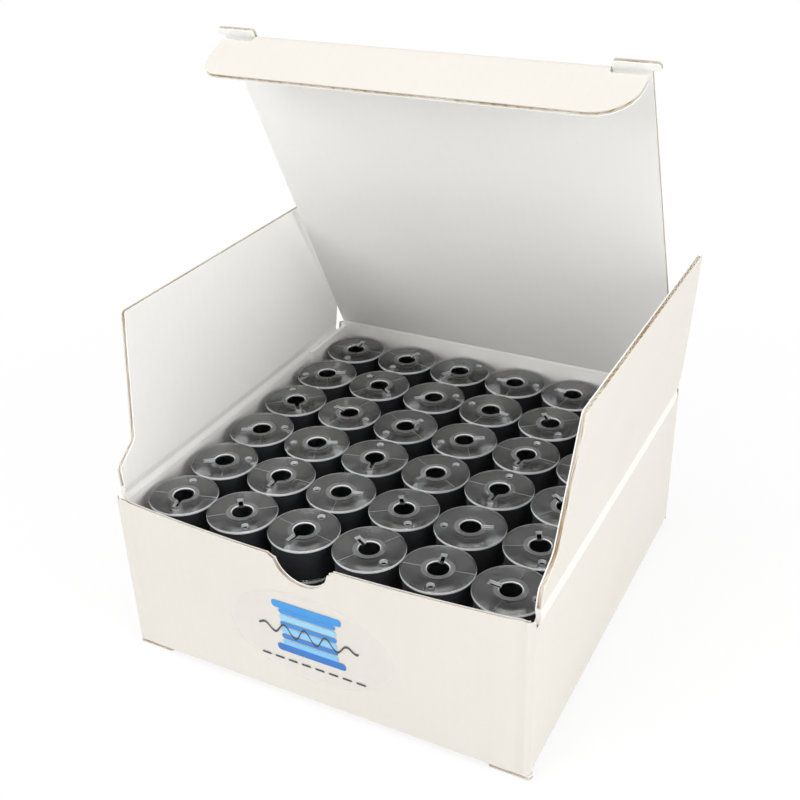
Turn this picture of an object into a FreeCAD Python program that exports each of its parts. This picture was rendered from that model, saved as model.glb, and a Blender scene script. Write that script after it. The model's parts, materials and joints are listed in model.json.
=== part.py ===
import FreeCAD, Part
import math
import os

import Sketcher

# A folding carton of thin white corrugated board, standing open, filled with wound bobbins.
# Millimetres, +Z up, origin in the middle of the underside. The thumb notch faces -Y and the
# lid turns at the back, +Y. Bobbins are counted from the front row and from the left column.

COLUMNS = 6
ROWS = 6
LAYERS = 4

DRIVING_SIZES = {
    # board
    "board": 1.5,
    "crease_gap": 0.1,
    # bobbins
    "bobbin_dia": 20.5,
    "bobbin_height": 11.7,
    "flange_thick": 1.0,
    "bore_dia": 6.1,
    "core_dia": 8.8,
    "winding_inset": 0.6,
    "thread_clear": 0.1,
    "slot_width": 1.3,
    "slot_reach": 6.3,
    "hole_dia": 1.8,
    "hole_place": 7.4,
    # room round the bobbins
    "column_gap": 0.26,
    "row_gap": 0.3,
    "stack_gap": 0.1,
    "side_clear": 0.2,
    "back_clear": 0.15,
    "tuck_entry": 0.9,
    "tuck_clear": 0.25,
    "lower_clear": 0.95,
    "headroom": 3.6,
    "rim_gap": 0.3,
    # front wall
    "front_bow": 3.6,
    "notch_width": 16.8,
    "notch_depth": 8.5,
    # glued side seam
    "glue_width": 24.0,
    # lid and bottom panel
    "lid_side_clear": 0.5,
    "ear_overhang": 0.3,
    "ear_reach": 2.55,
    "ear_width": 12.3,
    "ear_shoulder": 0.55,
    "ear_round": 1.2,
    # tuck flaps
    "tuck_length": 17.5,
    "tuck_side_clear": 0.6,
    "tuck_slit": 3.0,
    "tuck_round": 7.0,
    "slit_gap": 0.3,
    # dust flaps
    "flap_height": 51.5,
    "flap_front_inset": 2.1,
    "lock_height": 8.5,
    "lock_run": 8.0,
    "lock_rise": 5.5,
    "front_taper": 6.9,
    "flap_back_inset": 1.5,
    "back_taper_start": 6.0,
    "back_taper": 6.0,
    # front label
    "label_width": 52.0,
    "label_height": 32.0,
    "label_centre": 26.0,
    "label_thick": 0.12,
    "label_gap": 0.02,
    # how far the open pieces stand, in degrees
    "lid_open_angle": 64.0,
    "left_flap_angle": 3.3,
    "right_flap_angle": 5.0,
}

# Which way each top bobbin's slot points, in degrees from +X, front row first.
SLOT_HEADINGS = [
    [285, 130, 260, 150, 100, 175],
    [210, 270, 15, 125, 20, 115],
    [210, 25, 285, 240, 270, 145],
    [310, 165, 60, 35, 265, 95],
    [30, 325, 210, 350, 130, 60],
    [95, 75, 230, 185, 170, 300],
]


class Size:
    """A number together with the sheet formula that it comes from."""

    def __init__(self, number, formula):
        self.number = number
        self.formula = formula

    @staticmethod
    def of(value):
        if isinstance(value, Size):
            return value
        return Size(float(value), repr(float(value)))

    def join(self, sign, other, number):
        return Size(number, f"({self.formula} {sign} {Size.of(other).formula})")

    def __add__(self, other):
        return self.join("+", other, self.number + Size.of(other).number)

    def __sub__(self, other):
        return self.join("-", other, self.number - Size.of(other).number)

    def __mul__(self, other):
        return self.join("*", other, self.number * Size.of(other).number)

    def __truediv__(self, other):
        return self.join("/", other, self.number / Size.of(other).number)

    def __neg__(self):
        return Size(-self.number, f"(-1 * {self.formula})")


def sine(angle):
    return Size(math.sin(math.radians(angle.number)), f"sin({angle.formula})")


def cosine(angle):
    return Size(math.cos(math.radians(angle.number)), f"cos({angle.formula})")


doc = FreeCAD.newDocument("BobbinBox")
sheet = doc.addObject("Spreadsheet::Sheet", "Dims")


def fill_sheet():
    """Writes one named cell for each driving size and each slot heading."""
    cells = dict(DRIVING_SIZES)
    for row, headings in enumerate(SLOT_HEADINGS, start=1):
        for column, heading in enumerate(headings, start=1):
            cells[f"heading_row{row}_col{column}"] = heading
    for line, (alias, number) in enumerate(cells.items(), start=1):
        sheet.set(f"A{line}", alias)
        sheet.set(f"B{line}", str(number))
        sheet.setAlias(f"B{line}", alias)
    doc.recompute()


def dim(alias):
    return Size(float(sheet.get(alias)), f"Dims.{alias}")


fill_sheet()

FLAT = Size.of(0)
QUARTER_TURN = Size.of(90)

BOARD = dim("board")
HALF_BOARD = BOARD / 2
CREASE_GAP = dim("crease_gap")
CREASE_STEP = HALF_BOARD + CREASE_GAP
LAYER_STEP = BOARD + CREASE_GAP

BOBBIN_DIA = dim("bobbin_dia")
BOBBIN_RADIUS = BOBBIN_DIA / 2
BOBBIN_HEIGHT = dim("bobbin_height")
COLUMN_PITCH = BOBBIN_DIA + dim("column_gap")
ROW_PITCH = BOBBIN_DIA + dim("row_gap")
LAYER_PITCH = BOBBIN_HEIGHT + dim("stack_gap")

# The inside of the box is what the bobbins, the glue flap and the tuck flap need.
INNER_WIDTH = BOBBIN_DIA + COLUMN_PITCH * (COLUMNS - 1) + BOARD + dim("side_clear") * 2
FRONT_ROOM = dim("tuck_entry") + BOARD
INNER_DEPTH = (
    FRONT_ROOM + dim("lower_clear") + BOBBIN_DIA + ROW_PITCH * (ROWS - 1) + dim("back_clear")
)
INNER_X = INNER_WIDTH / 2
INNER_Y = INNER_DEPTH / 2
OUTER_X = INNER_X + BOARD
OUTER_Y = INNER_Y + BOARD
CREASE_X = INNER_X + HALF_BOARD
CREASE_Y = INNER_Y + HALF_BOARD

# Levels, from the underside up.
BOTTOM_AXIS_Z = HALF_BOARD
BOTTOM_FLAP_AXIS_Z = BOTTOM_AXIS_Z + LAYER_STEP
STACK_BOTTOM = BOTTOM_FLAP_AXIS_Z + CREASE_STEP
TOP_LAYER_BOTTOM = STACK_BOTTOM + LAYER_PITCH * (LAYERS - 1)
RIM_Z = TOP_LAYER_BOTTOM + BOBBIN_HEIGHT + dim("headroom")
LID_AXIS_Z = RIM_Z + dim("rim_gap") + HALF_BOARD
FLAP_AXIS_Z = LID_AXIS_Z - LAYER_STEP
SIDE_TOP = FLAP_AXIS_Z - CREASE_STEP
BACK_TOP = LID_AXIS_Z - CREASE_STEP
FRONT_BOTTOM = BOARD + dim("rim_gap")

# First bobbin of each grid: the top layer has slid forward, the layers below have not.
FIRST_X = BOARD + dim("side_clear") + BOBBIN_RADIUS - INNER_X
TOP_FIRST_Y = FRONT_ROOM + dim("tuck_clear") + BOBBIN_RADIUS - INNER_Y
LOWER_FIRST_Y = FRONT_ROOM + dim("lower_clear") + BOBBIN_RADIUS - INNER_Y

# The tuck flap's crease lies this far in front of the lid's crease.
TUCK_Y = dim("tuck_entry") + HALF_BOARD - INNER_Y
LID_REACH = CREASE_Y - TUCK_Y

sub_parts = []


def keep(label, thing):
    """Names a finished sub-part and puts it on the list of what is written."""
    thing.Label = label
    sub_parts.append(thing)
    return thing


def new_body(name):
    return doc.addObject("PartDesign::Body", name)


def new_sketch(body, name, role, level=None):
    """A sketch on one of the body's origin planes, or at a level above it."""
    sketch = body.newObject("Sketcher::SketchObject", name)
    plane = [f for f in body.Origin.OriginFeatures if f.Role == role][0]
    sketch.AttachmentSupport = [(plane, "")]
    sketch.MapMode = "FlatFace"
    if level is not None:
        sketch.setExpression("AttachmentOffset.Base.z", level.formula)
    return sketch


def tie(sketch, kind, *where_and_size):
    """Adds a sized constraint and binds it to its formula."""
    *where, size = where_and_size
    index = sketch.addConstraint(Sketcher.Constraint(kind, *where, size.number))
    sketch.setExpression(f"Constraints[{index}]", size.formula)


def tie_point(sketch, geometry, end, place):
    """Holds one end of a line or arc at a place measured from the sketch's origin."""
    x, y = place
    tie(sketch, "DistanceX", -1, 1, geometry, end, Size.of(x))
    tie(sketch, "DistanceY", -1, 1, geometry, end, Size.of(y))


def vector(place):
    x, y = place
    return FreeCAD.Vector(Size.of(x).number, Size.of(y).number, 0)


def draw_polygon(sketch, places):
    """A closed outline of straight lines through the given places."""
    count = len(places)
    first = None
    for start, end in zip(places, places[1:] + places[:1]):
        line = sketch.addGeometry(Part.LineSegment(vector(start), vector(end)), False)
        tie_point(sketch, line, 1, start)
        first = line if first is None else first
    for index in range(count):
        following = first + (index + 1) % count
        sketch.addConstraint(
            Sketcher.Constraint("Coincident", first + index, 2, following, 1)
        )


def draw_rectangle(sketch, low_x, low_y, high_x, high_y):
    draw_polygon(
        sketch, [(low_x, low_y), (high_x, low_y), (high_x, high_y), (low_x, high_y)]
    )


def draw_circle(sketch, centre, radius):
    circle = sketch.addGeometry(
        Part.Circle(vector(centre), FreeCAD.Vector(0, 0, 1), radius.number), False
    )
    tie_point(sketch, circle, 3, centre)
    tie(sketch, "Radius", circle, radius)


def draw_creased_strip(sketch, length, along):
    """A board's section: flat, with a half-round end about the crease at the origin.

    It runs backwards along the sketch's first axis, or forwards along its second.
    """
    edge = HALF_BOARD
    if along == "first":
        places = [(0, -edge), (-length, -edge), (-length, edge), (0, edge)]
        middle, centre_line = (edge, 0), -2
    else:
        places = [(edge, 0), (edge, length), (-edge, length), (-edge, 0)]
        middle, centre_line = (0, -edge), -1
    for start, end in zip(places, places[1:]):
        line = sketch.addGeometry(Part.LineSegment(vector(start), vector(end)), False)
        tie_point(sketch, line, 1, start)
    tie_point(sketch, 2, 2, places[3])
    curve = Part.Arc(vector(places[3]), vector(middle), vector(places[0]))
    arc = sketch.addGeometry(curve, False)
    sketch.addConstraint(Sketcher.Constraint("Coincident", 0, 2, 1, 1))
    sketch.addConstraint(Sketcher.Constraint("Coincident", 1, 2, 2, 1))
    first_end, second_end = arc_ends(sketch, arc, vector(places[3]))
    sketch.addConstraint(Sketcher.Constraint("Coincident", arc, first_end, 2, 2))
    sketch.addConstraint(Sketcher.Constraint("Coincident", arc, second_end, 0, 1))
    sketch.addConstraint(Sketcher.Constraint("PointOnObject", arc, 3, centre_line))


def arc_ends(sketch, arc, place):
    """Which end of an arc lies at a place: the sketch stores arcs counter-clockwise."""
    near_start = (sketch.getPoint(arc, 1) - place).Length
    near_end = (sketch.getPoint(arc, 2) - place).Length
    return (1, 2) if near_start < near_end else (2, 1)


def pad(body, sketch, length, both_ways=False):
    feature = body.newObject("PartDesign::Pad", sketch.Name + "Pad")
    feature.Profile = sketch
    feature.setExpression("Length", length.formula)
    feature.SideType = "Symmetric" if both_ways else "One side"
    sketch.Visibility = False
    doc.recompute()
    return feature


def cut_through(body, sketch):
    """Cuts right through, both ways from the sketch."""
    feature = body.newObject("PartDesign::Pocket", sketch.Name + "Cut")
    feature.Profile = sketch
    feature.SideType = "Symmetric"
    feature.Type = "ThroughAll"
    doc.recompute()
    return feature


def cut_deep(body, sketch, depth, upwards):
    feature = body.newObject("PartDesign::Pocket", sketch.Name + "Cut")
    feature.Profile = sketch
    feature.Type = "Length"
    feature.setExpression("Length", depth.formula)
    feature.Reversed = upwards
    doc.recompute()
    return feature


def revolve(body, sketch):
    feature = body.newObject("PartDesign::Revolution", sketch.Name + "Turned")
    feature.Profile = sketch
    feature.ReferenceAxis = (sketch, ["V_Axis"])
    feature.Angle = 360
    doc.recompute()
    return feature


def round_corners(body, base, radius, corners):
    """Rounds the edges that stand square to the board at the given places."""
    names = []
    for index, edge in enumerate(base.Shape.Edges, start=1):
        low, high = edge.Vertexes[0].Point, edge.Vertexes[-1].Point
        upright = (low - high).Length > 0 and math.hypot(low.x - high.x, low.y - high.y) < 1e-6
        for x, y in corners:
            if upright and math.hypot(low.x - x.number, low.y - y.number) < 1e-4:
                names.append(f"Edge{index}")
    fillet = body.newObject("PartDesign::Fillet", body.Name + "Round")
    fillet.Base = (base, names)
    fillet.setExpression("Radius", radius.formula)
    doc.recompute()
    return fillet


def place(thing, x, y, z, axis=None, angle=None):
    """Binds where a sub-part stands, and how far it is turned about an axis."""
    if axis is not None:
        start = angle.number if abs(angle.number) > 1e-6 else 1.0
        turn = FreeCAD.Rotation(FreeCAD.Vector(*axis), start)
        thing.Placement = FreeCAD.Placement(FreeCAD.Vector(), turn)
        thing.setExpression("Placement.Rotation.Angle", angle.formula)
    for letter, size in zip("xyz", (x, y, z)):
        thing.setExpression(f"Placement.Base.{letter}", Size.of(size).formula)


def plain_panel(label, low, high):
    """A flat board between two opposite corners."""
    box = doc.addObject("Part::Box", label)
    for side, start, end in zip(("Length", "Width", "Height"), low, high):
        box.setExpression(side, (Size.of(end) - Size.of(start)).formula)
    place(box, *low)
    return keep(label, box)


def bowed_loft(body, inner, outer, bow, low_z, high_z):
    """A wall that is straight along its foot and bows out along its rim."""
    sections = []
    for name, level, rise in (("Foot", low_z, None), ("Rim", high_z, bow)):
        sketch = new_sketch(body, body.Name + name, "XY_Plane", level)
        near, far = -inner, -outer
        corners = [(-OUTER_X, near), (-OUTER_X, far), (OUTER_X, far), (OUTER_X, near)]
        if rise is None:
            draw_polygon(sketch, corners)
        else:
            draw_bowed_outline(sketch, corners, rise)
        sections.append(sketch)
    doc.recompute()
    loft = body.newObject("PartDesign::AdditiveLoft", body.Name + "Loft")
    loft.Profile = sections[0]
    loft.Sections = [sections[1]]
    loft.Ruled = True
    doc.recompute()
    return loft


def draw_bowed_outline(sketch, corners, rise):
    """Four corners whose two long sides are arcs that bulge towards the front."""
    radius = (OUTER_X * OUTER_X + rise * rise) / (rise * 2)
    near_left, far_left, far_right, near_right = corners
    ends = [(near_left, far_left), (far_left, far_right), (far_right, near_right),
            (near_right, near_left)]
    for start, end in ends:
        if start[0].number == end[0].number:
            shape = Part.LineSegment(vector(start), vector(end))
        else:
            middle = FreeCAD.Vector(0, start[1].number - rise.number, 0)
            shape = Part.Arc(vector(start), middle, vector(end))
        sketch.addGeometry(shape, False)
    for line in (0, 2):
        tie_point(sketch, line, 1, ends[line][0])
        tie_point(sketch, line, 2, ends[line][1])
    for arc, before, after in ((1, 0, 2), (3, 2, 0)):
        first_end, second_end = arc_ends(sketch, arc, vector(ends[arc][0]))
        sketch.addConstraint(Sketcher.Constraint("Coincident", arc, first_end, before, 2))
        sketch.addConstraint(Sketcher.Constraint("Coincident", arc, second_end, after, 1))
        tie(sketch, "Radius", arc, radius)


def build_front_wall():
    """The bowed front wall with its half-moon thumb notch."""
    body = new_body("FrontWall")
    bowed_loft(body, INNER_Y, OUTER_Y, dim("front_bow"), FRONT_BOTTOM, RIM_Z)
    width, depth = dim("notch_width"), dim("notch_depth")
    radius = (width * width / 4 + depth * depth) / (depth * 2)
    sketch = new_sketch(body, "ThumbNotch", "XZ_Plane")
    draw_circle(sketch, (0, RIM_Z - depth + radius), radius)
    cut_through(body, sketch)
    return keep("front_wall", body)


def build_front_label():
    """A thin oval film that follows the bowed front wall."""
    body = new_body("LabelSheet")
    inner = OUTER_Y + dim("label_gap")
    bowed_loft(body, inner, inner + dim("label_thick"), dim("front_bow"), FRONT_BOTTOM, RIM_Z)
    oval = doc.addObject("Part::Ellipse", "LabelOutline")
    oval.setExpression("MajorRadius", (dim("label_width") / 2).formula)
    oval.setExpression("MinorRadius", (dim("label_height") / 2).formula)
    place(oval, 0, -INNER_Y, dim("label_centre"), (1, 0, 0), QUARTER_TURN)
    punch = doc.addObject("Part::Extrusion", "LabelPunch")
    punch.Base = oval
    punch.DirMode = "Custom"
    punch.Dir = FreeCAD.Vector(0, -1, 0)
    punch.setExpression("LengthFwd", (BOARD * 2 + dim("front_bow") * 2).formula)
    punch.Solid = True
    label = doc.addObject("Part::Common", "FrontLabel")
    label.Base = body
    label.Tool = punch
    doc.recompute()
    return keep("front_label", label)


def build_closure_panel(label, axis_z, angle):
    """The lid, or the bottom panel: a board with two ears at the front corners.

    The ears stay flat when the tuck flap folds, because a slit frees them from it.
    """
    body = new_body(label.title().replace("_", ""))
    half_width = INNER_X - dim("lid_side_clear")
    ear_x = OUTER_X + dim("ear_overhang")
    ear_inner_x = ear_x - dim("ear_width")
    ear_y = -(LID_REACH + dim("ear_reach"))
    shoulder_y = -(LID_REACH + dim("ear_shoulder"))
    front_y = CREASE_STEP - LID_REACH
    section = new_sketch(body, body.Name + "Section", "YZ_Plane")
    draw_creased_strip(section, -ear_y, "first")
    pad(body, section, ear_x * 2, both_ways=True)
    offcuts = new_sketch(body, body.Name + "Offcuts", "XY_Plane")
    draw_rectangle(offcuts, half_width, shoulder_y, ear_x + BOARD, BOARD)
    draw_rectangle(offcuts, -ear_x - BOARD, shoulder_y, -half_width, BOARD)
    draw_rectangle(offcuts, -ear_inner_x, ear_y - BOARD, ear_inner_x, front_y)
    cut = cut_through(body, offcuts)
    corners = [(x, ear_y) for x in (ear_x, -ear_x, ear_inner_x, -ear_inner_x)]
    round_corners(body, cut, dim("ear_round"), corners)
    place(body, 0, CREASE_Y, axis_z, (1, 0, 0), angle)
    return keep(label, body)


def build_tuck_flap(label, y, z, angle):
    """A tuck flap: round corners, and ends that start below the ears' slits."""
    body = new_body(label.title().replace("_", ""))
    half_width = INNER_X - dim("tuck_side_clear")
    tab_x = OUTER_X + dim("ear_overhang") - dim("ear_width") - dim("slit_gap")
    length = dim("tuck_length")
    section = new_sketch(body, body.Name + "Section", "YZ_Plane")
    draw_creased_strip(section, length, "first")
    pad(body, section, half_width * 2, both_ways=True)
    slits = new_sketch(body, body.Name + "Slits", "XY_Plane")
    draw_rectangle(slits, tab_x, -dim("tuck_slit"), half_width + BOARD, BOARD)
    draw_rectangle(slits, -half_width - BOARD, -dim("tuck_slit"), -tab_x, BOARD)
    cut = cut_through(body, slits)
    corners = [(half_width, -length), (-half_width, -length)]
    round_corners(body, cut, dim("tuck_round"), corners)
    place(body, 0, y, z, (1, 0, 0), angle)
    return keep(label, body)


def build_dust_flap(label, x, z, angle):
    """A dust flap: a lock shoulder and a taper in front, a longer taper behind."""
    body = new_body(label.title().replace("_", ""))
    height = dim("flap_height")
    front_y = dim("flap_front_inset") - INNER_Y
    back_y = INNER_Y - dim("flap_back_inset")
    lock_top = dim("lock_height") + dim("lock_rise")
    lock_y = front_y + dim("lock_run")
    above = height + BOARD
    section = new_sketch(body, body.Name + "Section", "XZ_Plane")
    draw_creased_strip(section, height, "second")
    pad(body, section, INNER_Y * 2, both_ways=True)
    offcuts = new_sketch(body, body.Name + "Offcuts", "YZ_Plane")
    draw_polygon(
        offcuts,
        [
            (-OUTER_Y, -BOARD),
            (front_y, -BOARD),
            (front_y, dim("lock_height")),
            (lock_y, lock_top),
            (lock_y + dim("front_taper"), above),
            (-OUTER_Y, above),
        ],
    )
    draw_polygon(
        offcuts,
        [
            (OUTER_Y, -BOARD),
            (back_y, -BOARD),
            (back_y, dim("back_taper_start")),
            (back_y - dim("back_taper"), above),
            (OUTER_Y, above),
        ],
    )
    cut_through(body, offcuts)
    place(body, x, 0, z, (0, 1, 0), angle)
    return keep(label, body)


def build_spool():
    """One clear bobbin: a tube with two flanges, each with a slot and a thread hole."""
    body = new_body("Spool")
    bore, core = dim("bore_dia") / 2, dim("core_dia") / 2
    thick, height, rim = dim("flange_thick"), BOBBIN_HEIGHT, BOBBIN_RADIUS
    profile = new_sketch(body, "SpoolProfile", "XZ_Plane")
    draw_polygon(
        profile,
        [
            (bore, 0),
            (rim, 0),
            (rim, thick),
            (core, thick),
            (core, height - thick),
            (rim, height - thick),
            (rim, height),
            (bore, height),
        ],
    )
    revolve(body, profile)
    holes = new_sketch(body, "ThreadHole", "XY_Plane")
    draw_circle(holes, (-dim("hole_place"), 0), dim("hole_dia") / 2)
    cut_through(body, holes)
    half_slot = dim("slot_width") / 2
    for name, level, upwards in (("TopSlot", height, False), ("BottomSlot", Size.of(0), True)):
        slot = new_sketch(body, name, "XY_Plane", level)
        draw_rectangle(slot, bore / 2, -half_slot, dim("slot_reach"), half_slot)
        cut_deep(body, slot, thick, upwards)
    return body


def build_winding():
    """The thread wound on one bobbin, as a plain ring between the flanges."""
    body = new_body("Winding")
    clear = dim("thread_clear")
    low = dim("flange_thick") + clear
    profile = new_sketch(body, "WindingProfile", "XZ_Plane")
    inside = dim("core_dia") / 2 + clear
    outside = BOBBIN_RADIUS - dim("winding_inset")
    draw_rectangle(profile, inside, low, outside, BOBBIN_HEIGHT - low)
    revolve(body, profile)
    return body


def grid_place(row, column, first_y):
    return FIRST_X + COLUMN_PITCH * column, first_y + ROW_PITCH * row


def build_top_layer(spool, winding):
    """The bobbins that show: in the front row the spool and its thread are apart."""
    for row in range(ROWS):
        for column in range(COLUMNS):
            address = f"r{row + 1}c{column + 1}"
            heading = dim(f"heading_row{row + 1}_col{column + 1}")
            if row == 0:
                groups = {f"spool_{address}": [spool], f"winding_{address}": [winding]}
            else:
                groups = {f"bobbin_{address}": [spool, winding]}
            for label, masters in groups.items():
                copy = doc.addObject("Part::Compound", label)
                copy.Links = masters
                x, y = grid_place(row, column, TOP_FIRST_Y)
                place(copy, x, y, TOP_LAYER_BOTTOM, (0, 0, 1), heading)
                keep(label, copy)


def build_lower_layers(label, master):
    """The layers underneath, as copies of one master in a single group."""
    turn_by_column, turn_by_row, turn_by_layer = 47, 101, 67
    copies = []
    for layer in range(LAYERS - 1):
        for row in range(ROWS):
            for column in range(COLUMNS):
                x, y = grid_place(row, column, LOWER_FIRST_Y)
                z = STACK_BOTTOM + LAYER_PITCH * layer
                turn = turn_by_column * column + turn_by_row * row + turn_by_layer * layer
                copy = master.Shape.copy()
                copy.Placement = FreeCAD.Placement(
                    FreeCAD.Vector(x.number, y.number, z.number),
                    FreeCAD.Rotation(FreeCAD.Vector(0, 0, 1), turn % 360),
                )
                copies.append(copy)
    group = doc.addObject("Part::Feature", label)
    group.Shape = Part.makeCompound(copies)
    return keep(label, group)


def build_carton():
    build_front_wall()
    plain_panel("back_wall", (-OUTER_X, INNER_Y, BOTTOM_AXIS_Z + CREASE_STEP),
                (OUTER_X, OUTER_Y, BACK_TOP))
    plain_panel("left_wall", (-OUTER_X, -INNER_Y, STACK_BOTTOM), (-INNER_X, INNER_Y, SIDE_TOP))
    plain_panel("right_wall", (INNER_X, -INNER_Y, STACK_BOTTOM), (OUTER_X, INNER_Y, SIDE_TOP))
    plain_panel("glue_flap", (-INNER_X, INNER_Y - dim("glue_width"), STACK_BOTTOM),
                (BOARD - INNER_X, INNER_Y, SIDE_TOP))

    build_closure_panel("bottom_panel", BOTTOM_AXIS_Z, FLAT)
    build_tuck_flap("bottom_tuck_flap", TUCK_Y, BOTTOM_AXIS_Z, -QUARTER_TURN)
    build_dust_flap("bottom_dust_flap_left", -CREASE_X, BOTTOM_FLAP_AXIS_Z, QUARTER_TURN)
    build_dust_flap("bottom_dust_flap_right", CREASE_X, BOTTOM_FLAP_AXIS_Z, -QUARTER_TURN)

    lid_open = dim("lid_open_angle")
    build_closure_panel("lid_panel", LID_AXIS_Z, -lid_open)
    tuck_y = CREASE_Y - LID_REACH * cosine(lid_open)
    tuck_z = LID_AXIS_Z + LID_REACH * sine(lid_open)
    build_tuck_flap("lid_tuck_flap", tuck_y, tuck_z, QUARTER_TURN - lid_open)
    build_dust_flap("dust_flap_left", -CREASE_X, FLAP_AXIS_Z, -dim("left_flap_angle"))
    build_dust_flap("dust_flap_right", CREASE_X, FLAP_AXIS_Z, dim("right_flap_angle"))
    build_front_label()


def build_bobbins():
    spool = build_spool()
    winding = build_winding()
    doc.recompute()
    build_top_layer(spool, winding)
    build_lower_layers("lower_spools", spool)
    build_lower_layers("lower_windings", winding)


def check_model():
    """Stops if anything failed to build, or if a cut took nothing away."""
    doc.recompute()
    for thing in doc.Objects:
        if "Invalid" in thing.State or "Error" in thing.State:
            raise RuntimeError(f"{thing.Label} failed: {thing.State}")
        if thing.TypeId == "PartDesign::Pocket":
            if thing.Shape.Volume > thing.BaseFeature.Shape.Volume - 1e-6:
                raise RuntimeError(f"{thing.Label} cuts nothing")
    for thing in sub_parts:
        if thing.Shape.isNull() or not thing.Shape.isValid():
            raise RuntimeError(f"{thing.Label} has no valid shape")


def write_parts():
    os.makedirs("parts", exist_ok=True)
    for thing in sub_parts:
        thing.Shape.exportStep(f"parts/{thing.Label}.step")
    solids = sum(len(thing.Shape.Solids) for thing in sub_parts)
    print(f"{len(sub_parts)} nodes, {solids} solids")
    print(f"inside {INNER_WIDTH.number:.2f} by {INNER_DEPTH.number:.2f}, rim at {RIM_Z.number:.2f}")


build_carton()
build_bobbins()
check_model()
write_parts()
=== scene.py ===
# %% [markdown]
# # A box of wound bobbins
# The CAD model of a folding carton, filled with bobbins, is loaded as a fixed frame. Each cell then
# dresses one piece of it: thin corrugated board, creases, clear spools and black thread.
# Everything is in metres, in the CAD model's own frame, so no piece has to be fitted by eye.

# %% Load the frame
import json
import math
import random

import bmesh
import bpy
from mathutils import Matrix, Vector


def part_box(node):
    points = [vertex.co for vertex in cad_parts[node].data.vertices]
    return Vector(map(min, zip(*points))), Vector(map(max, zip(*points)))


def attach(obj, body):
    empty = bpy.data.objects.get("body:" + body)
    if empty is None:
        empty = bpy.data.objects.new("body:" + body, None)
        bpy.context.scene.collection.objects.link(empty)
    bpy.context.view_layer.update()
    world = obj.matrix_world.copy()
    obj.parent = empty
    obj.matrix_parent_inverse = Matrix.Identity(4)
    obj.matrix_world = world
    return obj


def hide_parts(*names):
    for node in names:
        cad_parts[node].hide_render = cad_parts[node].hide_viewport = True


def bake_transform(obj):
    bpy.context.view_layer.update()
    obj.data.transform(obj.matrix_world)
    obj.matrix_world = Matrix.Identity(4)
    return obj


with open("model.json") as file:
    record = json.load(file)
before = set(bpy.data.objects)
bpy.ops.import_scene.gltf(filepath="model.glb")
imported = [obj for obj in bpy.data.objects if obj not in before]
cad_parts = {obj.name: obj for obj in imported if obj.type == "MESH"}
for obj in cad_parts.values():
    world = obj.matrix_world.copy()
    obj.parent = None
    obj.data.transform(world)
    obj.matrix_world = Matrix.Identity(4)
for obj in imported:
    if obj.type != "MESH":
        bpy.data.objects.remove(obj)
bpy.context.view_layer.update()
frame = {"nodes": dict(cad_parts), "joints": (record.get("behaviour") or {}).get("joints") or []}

MM = 0.001

# %% [markdown]
# ## Working by hand, in code
# The pieces are modelled with the same operators that a hand would use in edit mode. A few short
# helpers keep that readable: one opens a piece for editing, one picks points by their place, one
# draws an outline by extruding a single point from corner to corner, as with a pen.

# %% Hands: select and edit
X, Y, Z = Vector((1, 0, 0)), Vector((0, 1, 0)), Vector((0, 0, 1))
SAME_POINT, SAME_CORNER = 1e-7, 1e-6


def only(piece):
    """Leaves one piece selected and active."""
    bpy.ops.object.select_all(action="DESELECT")
    piece.select_set(True)
    bpy.context.view_layer.objects.active = piece


def open_mesh(piece, kind="VERT"):
    only(piece)
    bpy.ops.object.mode_set(mode="EDIT")
    bpy.ops.mesh.select_mode(type=kind)


def close_mesh():
    bpy.ops.object.mode_set(mode="OBJECT")


def pick(piece, test, kind="verts"):
    """Selects what passes a test of its place: points by themselves, faces and edges by middle."""
    bpy.ops.mesh.select_all(action="DESELECT")
    mesh = bmesh.from_edit_mesh(piece.data)
    for item in getattr(mesh, kind):
        if kind == "verts":
            place = item.co
        elif kind == "faces":
            place = item.calc_center_median()
        else:
            place = (item.verts[0].co + item.verts[1].co) / 2
        if test(place):
            item.select_set(True)
    if kind == "verts":
        mesh.select_flush(True)
    bmesh.update_edit_mesh(piece.data)


def settle(piece):
    """Puts a piece's place into its mesh, so that its object sits at the origin."""
    only(piece)
    bpy.ops.object.transform_apply(location=True, rotation=True, scale=True)


def new_piece(name, add_primitive, **settings):
    """Adds a primitive with nothing else selected, names it and settles it."""
    bpy.ops.object.select_all(action="DESELECT")
    add_primitive(**settings)
    piece = bpy.context.object
    piece.name = name
    settle(piece)
    return piece


def stand(piece, origin, across, along):
    """Stands a flat piece in its place: its x runs across, its y along."""
    turn = Matrix((across, along, across.cross(along))).transposed().to_4x4()
    piece.matrix_world = Matrix.Translation(origin) @ turn
    settle(piece)


print("editing helpers ready")


# %% Hands: modifiers, normals and joining
def apply_modifier(piece, kind, **settings):
    """Adds a modifier, sets it and applies it at once."""
    only(piece)
    modifier = piece.modifiers.new(kind.title(), kind)
    for name, value in settings.items():
        setattr(modifier, name, value)
    bpy.ops.object.modifier_apply(modifier=modifier.name)


def displace(piece, direction, distance, share):
    """Moves each point along an axis by its own share, from 0 to 1, of a distance."""
    group = piece.vertex_groups.new(name="share")
    for point in piece.data.vertices:
        group.add([point.index], max(0.0, min(1.0, share(point.co))), "REPLACE")
    apply_modifier(piece, "DISPLACE", direction=direction, mid_level=0.0, strength=distance,
                   vertex_group=group.name)
    piece.vertex_groups.clear()


def cut_with(piece, cutter):
    """Cuts one piece out of another, and throws the cutter away."""
    apply_modifier(piece, "BOOLEAN", operation="DIFFERENCE", object=cutter, solver="EXACT")
    bpy.data.objects.remove(cutter)


def tidy_normals(piece):
    open_mesh(piece)
    bpy.ops.mesh.select_all(action="SELECT")
    bpy.ops.mesh.remove_doubles(threshold=SAME_POINT)
    bpy.ops.mesh.normals_make_consistent(inside=False)
    close_mesh()


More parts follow.
